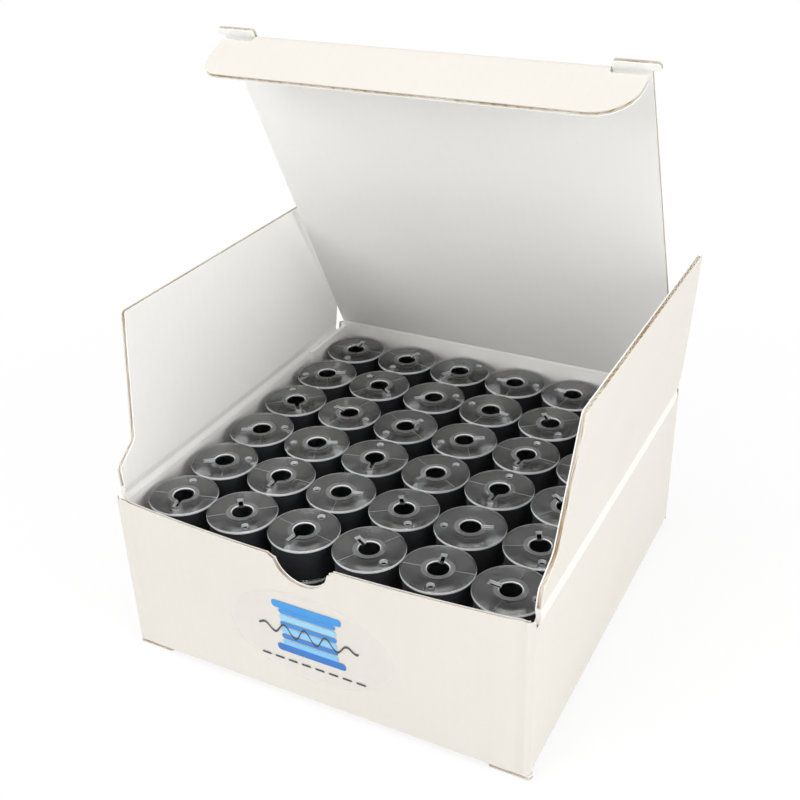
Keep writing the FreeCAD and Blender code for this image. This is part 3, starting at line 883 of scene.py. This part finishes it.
lid_crease = crease("lid_crease", LID_FOLD, X, -LID_HALF, LID_HALF, Y, LID_CROWN)
tuck_crease = crease("tuck_crease", TUCK_FOLD, X, -TAB_HALF, TAB_HALF)
left_crease, right_crease = (
    crease(name, fold, Y, FLAP_FRONT, FLAP_FOOT, outside, BEAD, (CREASE, INSIDE_Y))
    for name, fold, outside in (("left_flap_crease", LEFT_FOLD, -X),
                                ("right_flap_crease", RIGHT_FOLD, X)))
bottom_creases = join("bottom_creases", [
    crease(name, (axis, from_way, to_way, CREASE_HALF), line, low, high)
    for name, axis, from_way, to_way, line, low, high in (
        ("low_left", LOW_LEFT_AXIS, -Z, X, Y, FLAP_FRONT, FLAP_FOOT),
        ("low_right", LOW_RIGHT_AXIS, -Z, -X, Y, FLAP_FRONT, FLAP_FOOT),
        ("low_back", BOTTOM_AXIS, -Z, -Y, X, -LID_HALF, LID_HALF),
        ("low_front", BOTTOM_TUCK_AXIS, -Y, Z, X, -TAB_HALF, TAB_HALF))])

# %% [markdown]
# ## Clear spools
# A spool is turned: a ring of points is extruded and scaled again and again along the profile,
# which is what a lathe does. Slots and thread holes are cut with small boxes and cylinders. The
# moulding leaves a fine line across each flange, which is a shallow groove. The plastic is clear,
# and looks dark only because black thread lies under it. Grey paint would look painted from close
# by, so the finish is plain glass with a little haze. Rims, cut walls and collars get a whiter,
# less clear copy of it, a painted highlight.

# %% Plastic and thread paints
THREAD_WIDTH = 0.3 * MM
THREAD_DARK, THREAD_LIGHT = (0.003, 0.0033, 0.0045, 1), (0.016, 0.017, 0.021, 1)
PLASTIC_FINENESS = 2600.0


def make_plastic():
    material, tree, shader, place = paint(
        "clear_plastic", Base_Color=(0.93, 0.94, 0.95, 1), Transmission_Weight=1.0, IOR=1.53)
    haze = use_group(tree, FIBRE, Place=place, Fineness=PLASTIC_FINENESS)
    vary_roughness(tree, shader, haze["Cloud"], least=0.04, spread=0.16)
    bump(tree, shader, haze["Fibre"], 0.012 * MM)
    return material


def make_highlit_plastic(name, clear):
    """Cut and moulded edges and collars: a whiter, less clear copy of the plastic, a painted
    highlight standing in for the light that runs inside the flange and comes out here.
    """
    material, tree, shader, place = paint(
        name, Base_Color=(0.92, 0.93, 0.94, 1), Transmission_Weight=clear, IOR=1.5)
    haze = use_group(tree, FIBRE, Place=place, Fineness=PLASTIC_FINENESS)
    vary_roughness(tree, shader, haze["Cloud"], least=0.18, spread=0.2)
    return material


def make_thread(name, turn_height=None):
    """Black polyester: a soft sheen, and a twist so fine that it only breaks up the light."""
    material, tree, shader, place = paint(name, Sheen_Weight=0.1, Sheen_Roughness=0.4,
                                          Specular_IOR_Level=0.3)
    fuzz = use_group(tree, FIBRE, Place=place, Fineness=4200.0)
    vary_colour(tree, shader, fuzz["Fibre"], THREAD_DARK, THREAD_LIGHT)
    vary_roughness(tree, shader, fuzz["Cloud"], least=0.45, spread=0.3)
    height = fuzz["Fibre"]
    if turn_height:
        ribs = use_group(tree, WASHBOARD, Place=place, Across=Z, Pitch=turn_height)
        height = scaled(tree, height, 0.4, ribs["Rib"])
    bump(tree, shader, height, 0.08 * MM)
    return material


PLASTIC = make_plastic()
# The edge and collar finishes are whiter copies of the clear plastic: painted highlights.
PLASTIC_EDGE_HIGHLIGHT = make_highlit_plastic("plastic_edge", 0.28)
PLASTIC_COLLAR_HIGHLIGHT = make_highlit_plastic("plastic_collar", 0.9)
THREAD = make_thread("black_thread")
DEEP_THREAD = make_thread("black_thread_below", THREAD_WIDTH)
print("bobbin paints", [m.name for m in (PLASTIC, PLASTIC_EDGE_HIGHLIGHT, PLASTIC_COLLAR_HIGHLIGHT, THREAD)])

# %% Spool, turned
BOBBIN_HEIGHT = 11.7 * MM
FLANGE_R, BORE_R, CORE_R = 10.25 * MM, 3.05 * MM, 4.4 * MM
FLANGE = 1.0 * MM
LIP, RIM_EASE, COLLAR_RISE = 0.22 * MM, 0.06 * MM, 0.1 * MM
SPOOL_POINTS = 72


def turn_profile(name, profile, points):
    """Turns a closed profile of (radius, height) pairs about the z axis."""
    radius, height = profile[0]
    piece = new_piece(name, bpy.ops.mesh.primitive_circle_add, vertices=points, radius=radius,
                      location=(0, 0, height))
    open_mesh(piece)
    bpy.ops.mesh.select_all(action="SELECT")
    for next_radius, next_height in profile[1:] + profile[:1]:
        bpy.ops.mesh.extrude_region_move(
            TRANSFORM_OT_translate={"value": (0, 0, next_height - height)})
        share = next_radius / radius
        bpy.ops.transform.resize(value=(share, share, 1))
        radius, height = next_radius, next_height
    close_mesh()
    tidy_normals(piece)
    return piece


def spool_profile():
    """Up the bore, out over the top flange, in along the core and out over the lower flange."""
    top, face, under = BOBBIN_HEIGHT, BOBBIN_HEIGHT - COLLAR_RISE, BOBBIN_HEIGHT - FLANGE
    upper = [(BORE_R, top - LIP), (BORE_R + LIP, top), (CORE_R, top), (CORE_R + LIP, face),
             (FLANGE_R - LIP, face), (FLANGE_R - RIM_EASE, face - RIM_EASE),
             (FLANGE_R, face - LIP), (FLANGE_R, under + LIP),
             (FLANGE_R - RIM_EASE, under + RIM_EASE), (FLANGE_R - LIP, under), (CORE_R, under)]
    return upper + [(r, BOBBIN_HEIGHT - h) for r, h in reversed(upper)]


spool_master = turn_profile("spool_master", spool_profile(), SPOOL_POINTS)
print("spool", len(spool_master.data.polygons), "faces")

# %% Spool, drilled and slotted
SLOT_WIDTH, SLOT_REACH = 1.3 * MM, 6.3 * MM
HOLE_R, HOLE_PLACE = 0.9 * MM, 7.4 * MM
EASE, EASE_DEPTH = 0.28 * MM, 0.35 * MM
LINE_WIDTH, LINE_DEPTH, LINE_OVERRUN = 0.12 * MM, 0.36 * MM, 0.4 * MM
SLOT_MIDDLE, SLOT_LENGTH = (BORE_R / 2 + SLOT_REACH) / 2, SLOT_REACH - BORE_R / 2
LINE_MIDDLE, LINE_LENGTH = (FLANGE_R + CORE_R) / 2, FLANGE_R - CORE_R + LINE_OVERRUN


def drill(radius, depth, level):
    cut_with(spool_master, new_piece(
        "drill", bpy.ops.mesh.primitive_cylinder_add, vertices=24, radius=radius, depth=depth,
        location=(-HOLE_PLACE, 0, level)))


def mill(place, size):
    cut_with(spool_master, new_piece(
        "mill", bpy.ops.mesh.primitive_cube_add, size=1, location=place, scale=size))


drill(HOLE_R, 2 * BOBBIN_HEIGHT, BOBBIN_HEIGHT / 2)
for level in (0.0, BOBBIN_HEIGHT):
    mill((SLOT_MIDDLE, 0, level), (SLOT_LENGTH, SLOT_WIDTH, 2 * FLANGE))
    mill((SLOT_MIDDLE + EASE / 2, 0, level),
         (SLOT_LENGTH + EASE, SLOT_WIDTH + 2 * EASE, 2 * EASE_DEPTH))
    drill(HOLE_R + EASE, 2 * EASE_DEPTH, level)
    for side in (1, -1):
        mill((0, side * LINE_MIDDLE, level), (LINE_WIDTH, LINE_LENGTH, LINE_DEPTH))
tidy_normals(spool_master)
print("slotted spool", len(spool_master.data.polygons), "faces")

# %% Spool finishes
UPRIGHT = 0.9
COLLAR_DEPTH, EASE_FLOOR, CORE_SKIN = 0.3 * MM, 0.05 * MM, 0.1 * MM
CLEAR, EDGE, COLLAR = range(3)


def spool_finish(face):
    """Clear for flange faces and core, edge for rims and cut walls, collar for the collars; the
    edge and collar finishes are painted highlights.
    """
    away = face.center.xy.length
    from_end = min(face.center.z, BOBBIN_HEIGHT - face.center.z)
    upright = abs(face.normal.z) < UPRIGHT
    if away < CORE_R + LIP and from_end < COLLAR_DEPTH:
        return EDGE if upright else COLLAR
    if abs(from_end - EASE_DEPTH) < EASE_FLOOR:
        return COLLAR
    return EDGE if upright and away > CORE_R + CORE_SKIN else CLEAR


put_material(spool_master, PLASTIC, PLASTIC_EDGE_HIGHLIGHT, PLASTIC_COLLAR_HIGHLIGHT)
for face in spool_master.data.polygons:
    face.material_index = spool_finish(face)
smooth(spool_master, 30)
print("edge faces", sum(face.material_index == EDGE for face in spool_master.data.polygons))

# %% [markdown]
# ## Thread windings
# The thread lies in close turns on the core. Bump alone would leave the outline of a winding
# straight, so its side is turned as a row of small round ridges, one for each turn, each a touch
# deeper or shallower than the next, and its ends show the layers as rings. The layers underneath
# are hardly seen, so theirs is a plain ring with the turns as bump.

# %% Winding master
random.seed(7)
WINDING_CLEARANCE = 0.1 * MM
WINDING_IN, WINDING_R = CORE_R + WINDING_CLEARANCE, 9.65 * MM
WINDING_LOW = FLANGE + WINDING_CLEARANCE
WINDING_TOP = BOBBIN_HEIGHT - FLANGE - WINDING_CLEARANCE
WINDING_POINTS = 48
END_RINGS, RING_RISE = 12, 0.07 * MM
RIDGE_DEPTH, RIDGE_WAVER = 0.13 * MM, 0.06 * MM
RIDGE_START, RIDGE_END = 0.35, 0.65


def winding_profile():
    turns = round((WINDING_TOP - WINDING_LOW) / THREAD_WIDTH)
    pitch = (WINDING_TOP - WINDING_LOW) / turns
    ring = (WINDING_R - WINDING_IN) / END_RINGS
    rings = [(WINDING_IN + i * ring, RING_RISE if i % 2 else 0) for i in range(1, END_RINGS)]
    valley = WINDING_R - RIDGE_DEPTH
    profile = [(WINDING_IN, WINDING_LOW)]
    profile += [(radius, WINDING_LOW + rise) for radius, rise in rings]
    for i in range(turns):
        base = WINDING_LOW + i * pitch
        crest = WINDING_R - random.random() * RIDGE_WAVER
        profile += [(valley, base), (crest, base + RIDGE_START * pitch),
                    (crest, base + RIDGE_END * pitch)]
    profile.append((valley, WINDING_TOP))
    profile += [(radius, WINDING_TOP - rise) for radius, rise in reversed(rings)]
    profile.append((WINDING_IN, WINDING_TOP))
    return profile


winding_master = turn_profile("winding_master", winding_profile(), WINDING_POINTS)
put_material(winding_master, THREAD)
smooth(winding_master, 60)
print("winding", len(winding_master.data.polygons), "faces")

# %% [markdown]
# ## Filling the box
# The top layer's bobbins are copies of the two masters, each with a mesh of its own, turned as they
# happen to lie. Each takes the place of its CAD node and moves with that node's body. An Array
# modifier would be quicker, and does for the layers underneath, but the top ones come out singly.

# %% Top layer
SLOT_HEADINGS = [
    [285, 130, 260, 150, 100, 175],
    [210, 270, 15, 125, 20, 115],
    [210, 25, 285, 240, 270, 145],
    [310, 165, 60, 35, 265, 95],
    [30, 325, 210, 350, 130, 60],
    [95, 75, 230, 185, 170, 300],
]


def copy_to(master, name, place, turn):
    only(master)
    bpy.ops.object.duplicate(linked=False)
    copy = bpy.context.object
    copy.name = name
    copy.data.name = name
    copy.location = place
    copy.rotation_euler.z = turn
    settle(copy)
    return copy


def fill_top_layer():
    for row, headings in enumerate(SLOT_HEADINGS, start=1):
        for column, heading in enumerate(headings, start=1):
            address = f"r{row}c{column}"
            split = row == 1
            node = f"spool_{address}" if split else f"bobbin_{address}"
            low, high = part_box(node)
            place = Vector(((low.x + high.x) / 2, (low.y + high.y) / 2, low.z))
            turn = math.radians(heading)
            spool = copy_to(spool_master, f"clear_spool_{address}", place, turn)
            winding = copy_to(winding_master, f"thread_{address}", place, turn)
            for piece in (spool, winding):
                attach(piece, f"bobbin_{address}")
            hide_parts(node)
            if split:
                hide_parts(f"winding_{address}")


fill_top_layer()
for master in (spool_master, winding_master):
    bpy.data.objects.remove(master)
print("top layer", sum(len(row) for row in SLOT_HEADINGS), "bobbins")

# %% Lower layers
LOWER_GRID = (6, 6, 3)
LOWER_POINTS = 20


def fill_lower_layers():
    """One plain ring, repeated by three Array modifiers into the layers underneath."""
    low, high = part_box("lower_windings")
    ring = turn_profile("thread_below", [
        (WINDING_IN, WINDING_LOW), (WINDING_R, WINDING_LOW), (WINDING_R, WINDING_TOP),
        (WINDING_IN, WINDING_TOP)], LOWER_POINTS)
    size = (2 * WINDING_R, 2 * WINDING_R, WINDING_TOP - WINDING_LOW)
    for axis, count in enumerate(LOWER_GRID):
        step = [0.0, 0.0, 0.0]
        step[axis] = (high[axis] - low[axis] - size[axis]) / (count - 1)
        apply_modifier(ring, "ARRAY", count=count, use_relative_offset=False,
                       use_constant_offset=True, constant_offset_displace=step)
    ring.location = (low.x + WINDING_R, low.y + WINDING_R, low.z - WINDING_LOW)
    settle(ring)
    put_material(ring, DEEP_THREAD)
    smooth(ring, 40)
    return ring


thread_below = fill_lower_layers()
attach(thread_below, "carton")
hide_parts("lower_windings")
put_material(frame["nodes"]["lower_spools"], PLASTIC)
put_material(frame["nodes"]["glue_flap"], INSIDE_Y)
print("lower layers", len(thread_below.data.polygons), "faces")

# %% [markdown]
# ## The label
# A clear oval film is stuck to the front. It carries a plain picture of a bobbin in blue over a row
# of running stitches. A picture could be painted by a texture, but shapes keep a crisp edge at any
# distance. So they are drawn flat and laid on the bowed film by a Shrinkwrap modifier.

# %% Label paints
INK_FADE_LOW, INK_FADE_HIGH = 12 * MM, 40 * MM


def make_film():
    material, tree, shader, place = paint("label_film", Base_Color=(0.93, 0.92, 0.9, 1),
                                          Alpha=0.10)
    fibre = use_group(tree, FIBRE, Place=place, Fineness=700.0)
    vary_roughness(tree, shader, fibre["Cloud"], least=0.12, spread=0.2)
    bump(tree, shader, fibre["Cloud"], 0.04 * MM)
    return material


def make_ink(name, light, dark):
    """Printing ink, darker towards the foot of the label and a little speckled."""
    material, tree, shader, place = paint(name, Coat_Weight=0.2, Coat_Roughness=0.2)
    fibre = use_group(tree, FIBRE, Place=place, Fineness=1500.0)
    height = add(tree, "ShaderNodeSeparateXYZ", {0: place}).outputs["Z"]
    fade = remap(tree, height, INK_FADE_LOW, INK_FADE_HIGH)
    speckle = scaled(tree, fibre["Fibre"], 0.25, -0.12)
    vary_colour(tree, shader, maths(tree, "ADD", fade, speckle), dark, light)
    vary_roughness(tree, shader, fibre["Cloud"], least=0.3, spread=0.2)
    return material


FILM = make_film()
BLUE = make_ink("blue_ink", (0.03, 0.30, 0.72, 1), (0.001, 0.09, 0.42, 1))
SKY = make_ink("sky_ink", (0.34, 0.66, 0.90, 1), (0.08, 0.40, 0.78, 1))
DARK = make_ink("dark_ink", (0.05, 0.055, 0.065, 1), (0.02, 0.022, 0.03, 1))
put_material(frame["nodes"]["front_label"], FILM)
print("label paints", [m.name for m in (FILM, BLUE, SKY, DARK)])

# %% Label print: the shapes
PRINT_Y = -80 * MM
PRINT_STEP = 3 * MM
FLANGE_BAR = 22 * MM, 2.6 * MM, 1.0 * MM
THREAD_BAR = 18 * MM, 1.9 * MM, 0.85 * MM
STITCH_BAR = 3.0 * MM, 0.7 * MM, 0.3 * MM
FLANGE_RISE, THREAD_ROWS, ROW_PITCH = 8.2 * MM, 6, 2.35 * MM
STITCHES, STITCH_PITCH = 8, 4.4 * MM
STROKE, STROKE_LENGTH, STROKE_SWING = 0.8 * MM, 32 * MM, 2.3 * MM
STROKE_STEPS, STROKE_WAVES = 90, 4.75


def bar(x, z, size, ink):
    """A flat bar of some width, height and corner radius, lying in the wall's plane."""
    w, h, radius = size[0] / 2, size[1] / 2, size[2]
    corners = [(-w, -h), (w, -h), (w, h), (-w, h)]
    piece = trace("bar", corners, [(corner, radius) for corner in corners])
    open_mesh(piece)
    score(X, steps(-w, w, PRINT_STEP))
    score(Y, steps(-h, h, PRINT_STEP))
    close_mesh()
    stand(piece, Vector((x, PRINT_Y, z)), X, Z)
    put_material(piece, ink)
    return piece


def bobbin_picture(middle):
    """Two flanges and rows of thread, seen from the side."""
    flanges = [bar(0, middle + side * FLANGE_RISE, FLANGE_BAR, BLUE) for side in (1, -1)]
    rows = [bar(0, middle + (row - (THREAD_ROWS - 1) / 2) * ROW_PITCH, THREAD_BAR,
                BLUE if row % 2 else SKY) for row in range(THREAD_ROWS)]
    return flanges + rows


def stitch_row(z):
    return [bar((i - (STITCHES - 1) / 2) * STITCH_PITCH, z, STITCH_BAR, DARK)
            for i in range(STITCHES)]


def thread_stroke(z):
    """A loose thread drawn across the picture: a short upright edge, extruded along a wave."""
    path = []
    for i in range(STROKE_STEPS + 1):
        share = i / STROKE_STEPS
        swing = STROKE_SWING * max(0.0, math.sin(math.pi * share)) ** 0.5
        path.append(Vector((STROKE_LENGTH * share,
                            swing * math.sin(share * STROKE_WAVES * 2 * math.pi), 0)))
    piece = start_point("stroke", (-STROKE / 2, -STROKE / 2, 0))
    draw_line((0, STROKE, 0))
    sweep(path)
    close_mesh()
    face_towards(piece, Z)
    stand(piece, Vector((-STROKE_LENGTH / 2, PRINT_Y, z)), X, Z)
    put_material(piece, DARK)
    return piece


print("picture of", THREAD_ROWS, "rows of thread over", STITCHES, "stitches")

# %% Label print: laid on the film
PICTURE_UP, STITCHES_DOWN, STROKE_UP = 2.2 * MM, 10.5 * MM, 1.0 * MM
PICTURE_HEIGHT, STROKE_HEIGHT = 0.03 * MM, 0.07 * MM


def lay_on_film(piece, height):
    apply_modifier(piece, "SHRINKWRAP", target=frame["nodes"]["front_label"],
                   wrap_method="PROJECT", use_project_y=True, use_positive_direction=True,
                   use_negative_direction=False, offset=height)
    return piece


label_low, label_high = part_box("front_label")
label_middle = (label_low.z + label_high.z) / 2
print_parts = bobbin_picture(label_middle + PICTURE_UP) + stitch_row(label_middle - STITCHES_DOWN)
picture = lay_on_film(join("picture", print_parts), PICTURE_HEIGHT)
stroke = lay_on_film(thread_stroke(label_middle + STROKE_UP), STROKE_HEIGHT)
label_print = join("label_print", [picture, stroke])
print("print", len(label_print.data.polygons), "faces")

# %% [markdown]
# ## Riding on the bodies
# Every piece but the crease strips now gets the body that it moves with, and the CAD nodes that it
# stands for are hidden. A crease strip gets no body; its place is only baked into its mesh.

for piece, body, nodes in (
    (walls, "carton", ("front_wall", "back_wall", "left_wall", "right_wall")),
    (bottom, "carton", ("bottom_panel",)),
    (bottom_tuck, "carton", ("bottom_tuck_flap",)),
    (low_left, "carton", ("bottom_dust_flap_left",)),
    (low_right, "carton", ("bottom_dust_flap_right",)),
    (bottom_creases, "carton", ()),
    (lid, "lid", ("lid_panel",)),
    (lid_tuck, "lid_tuck", ("lid_tuck_flap",)),
    (left_flap, "left_dust_flap", ("dust_flap_left",)),
    (right_flap, "right_dust_flap", ("dust_flap_right",)),
):
    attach(piece, body)
    if nodes:
        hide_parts(*nodes)
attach(label_print, "carton")

for piece, first, second, (axis, from_way, to_way, half) in (
    (lid_crease, "carton", "lid", LID_FOLD),
    (tuck_crease, "lid", "lid_tuck", TUCK_FOLD),
    (left_crease, "carton", "left_dust_flap", LEFT_FOLD),
    (right_crease, "carton", "right_dust_flap", RIGHT_FOLD),
):
    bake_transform(piece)
    print(piece.name, "bends between", first, "and", second)

# %% [markdown]
# ## Stage, light and camera
# The box stands on a pale floor in even studio light. The floor and the air behind look white to
# the camera and to clear plastic, while the floor still takes the box's shadow.

# %% Floor and world
WHITE = (1, 1, 1, 1)
FLOOR_SIZE, FLOOR_Z, FLOOR_GREY = 6, -0.2 * MM, (0.85, 0.85, 0.85, 1)
FADE_START, FADE_END, NEAR_WHITE = 0.09, 0.32, 0.84
WORLD_STRENGTH = 0.48


def seen_share(tree):
    """1 for rays from the camera, and for those that glossy or clear surfaces send on."""
    rays = add(tree, "ShaderNodeLightPath").outputs
    first = maths(tree, "MAXIMUM", rays["Is Camera Ray"], rays["Is Glossy Ray"])
    return maths(tree, "MAXIMUM", first, rays["Is Transmission Ray"])


def make_floor():
    floor = new_piece("floor", bpy.ops.mesh.primitive_plane_add, size=FLOOR_SIZE,
                      location=(0, 0, FLOOR_Z))
    material = bpy.data.materials.new("floor_paper")
    material.use_nodes = True
    tree = material.node_tree
    tree.nodes.remove(tree.nodes["Principled BSDF"])
    plain = add(tree, "ShaderNodeBsdfDiffuse", {"Color": FLOOR_GREY})
    bright = add(tree, "ShaderNodeEmission", {"Color": WHITE, "Strength": 1.0})
    place = add(tree, "ShaderNodeTexCoord").outputs["Object"]
    away = add(tree, "ShaderNodeVectorMath", {0: place}, operation="LENGTH").outputs["Value"]
    white = remap(tree, away, FADE_START, FADE_END, to_low=NEAR_WHITE,
                  interpolation_type="SMOOTHSTEP")
    share = maths(tree, "MULTIPLY", seen_share(tree), white)
    mix = add(tree, "ShaderNodeMixShader",
              {0: share, 1: plain.outputs[0], 2: bright.outputs[0]})
    tree.links.new(mix.outputs[0], tree.nodes["Material Output"].inputs["Surface"])
    put_material(floor, material)


def make_world():
    world = bpy.data.worlds.new("studio")
    bpy.context.scene.world = world
    world.use_nodes = True
    tree = world.node_tree
    back = tree.nodes["Background"]
    back.inputs["Color"].default_value = WHITE
    level = add(tree, "ShaderNodeMix", {0: seen_share(tree), 2: WORLD_STRENGTH, 3: 1.0})
    tree.links.new(level.outputs[0], back.inputs["Strength"])


make_floor()
make_world()
print("floor and world ready")

# %% Lamps
LAMP_TARGET = Vector((0, 0, 0.06))


def soft_lamp(name, place, size, watts):
    lamp = bpy.data.lights.new(name, "AREA")
    lamp.size = size
    lamp.energy = watts
    holder = bpy.data.objects.new(name, lamp)
    bpy.context.scene.collection.objects.link(holder)
    holder.location = place
    holder.rotation_euler = (LAMP_TARGET - Vector(place)).to_track_quat("-Z", "Y").to_euler()
    print(name, "lamp,", watts, "W")


soft_lamp("front", place=(-0.46, -0.80, 0.58), size=0.6, watts=4.7)
soft_lamp("side", place=(1.12, -0.34, 0.45), size=0.7, watts=7.4)
soft_lamp("top", place=(-0.1, -0.3, 1.35), size=0.9, watts=7.2)
soft_lamp("back", place=(0.45, 1.0, 0.55), size=0.6, watts=2.5)

# %% Camera
IMAGE, FOCAL, SENSOR = 800, 1138.3, 36
AZIMUTH, ELEVATION, ROLL = math.radians(28.23), math.radians(29.30), math.radians(-1.91)
DISTANCE = 350.0 * MM
TARGET = Vector((-6.24, 1.78, 65.29)) * MM
CLIP_START, CLIP_END = 0.01, 20

camera = bpy.data.objects.new("camera", bpy.data.cameras.new("camera"))
bpy.context.scene.collection.objects.link(camera)
back_way = Vector((math.sin(AZIMUTH) * math.cos(ELEVATION),
                   -math.cos(AZIMUTH) * math.cos(ELEVATION), math.sin(ELEVATION)))
right_way = (-back_way).cross(Z).normalized()
up_way = right_way.cross(-back_way)
rolled_right = right_way * math.cos(ROLL) + up_way * math.sin(ROLL)
rolled_up = up_way * math.cos(ROLL) - right_way * math.sin(ROLL)
turn = Matrix((rolled_right, rolled_up, back_way)).transposed().to_4x4()
camera.matrix_world = Matrix.Translation(TARGET + back_way * DISTANCE) @ turn
camera.data.sensor_width = SENSOR
camera.data.lens = FOCAL / IMAGE * SENSOR
camera.data.clip_start, camera.data.clip_end = CLIP_START, CLIP_END
bpy.context.scene.camera = camera
bpy.context.scene.view_settings.view_transform = "Standard"
print("lens", round(camera.data.lens, 1), "mm")
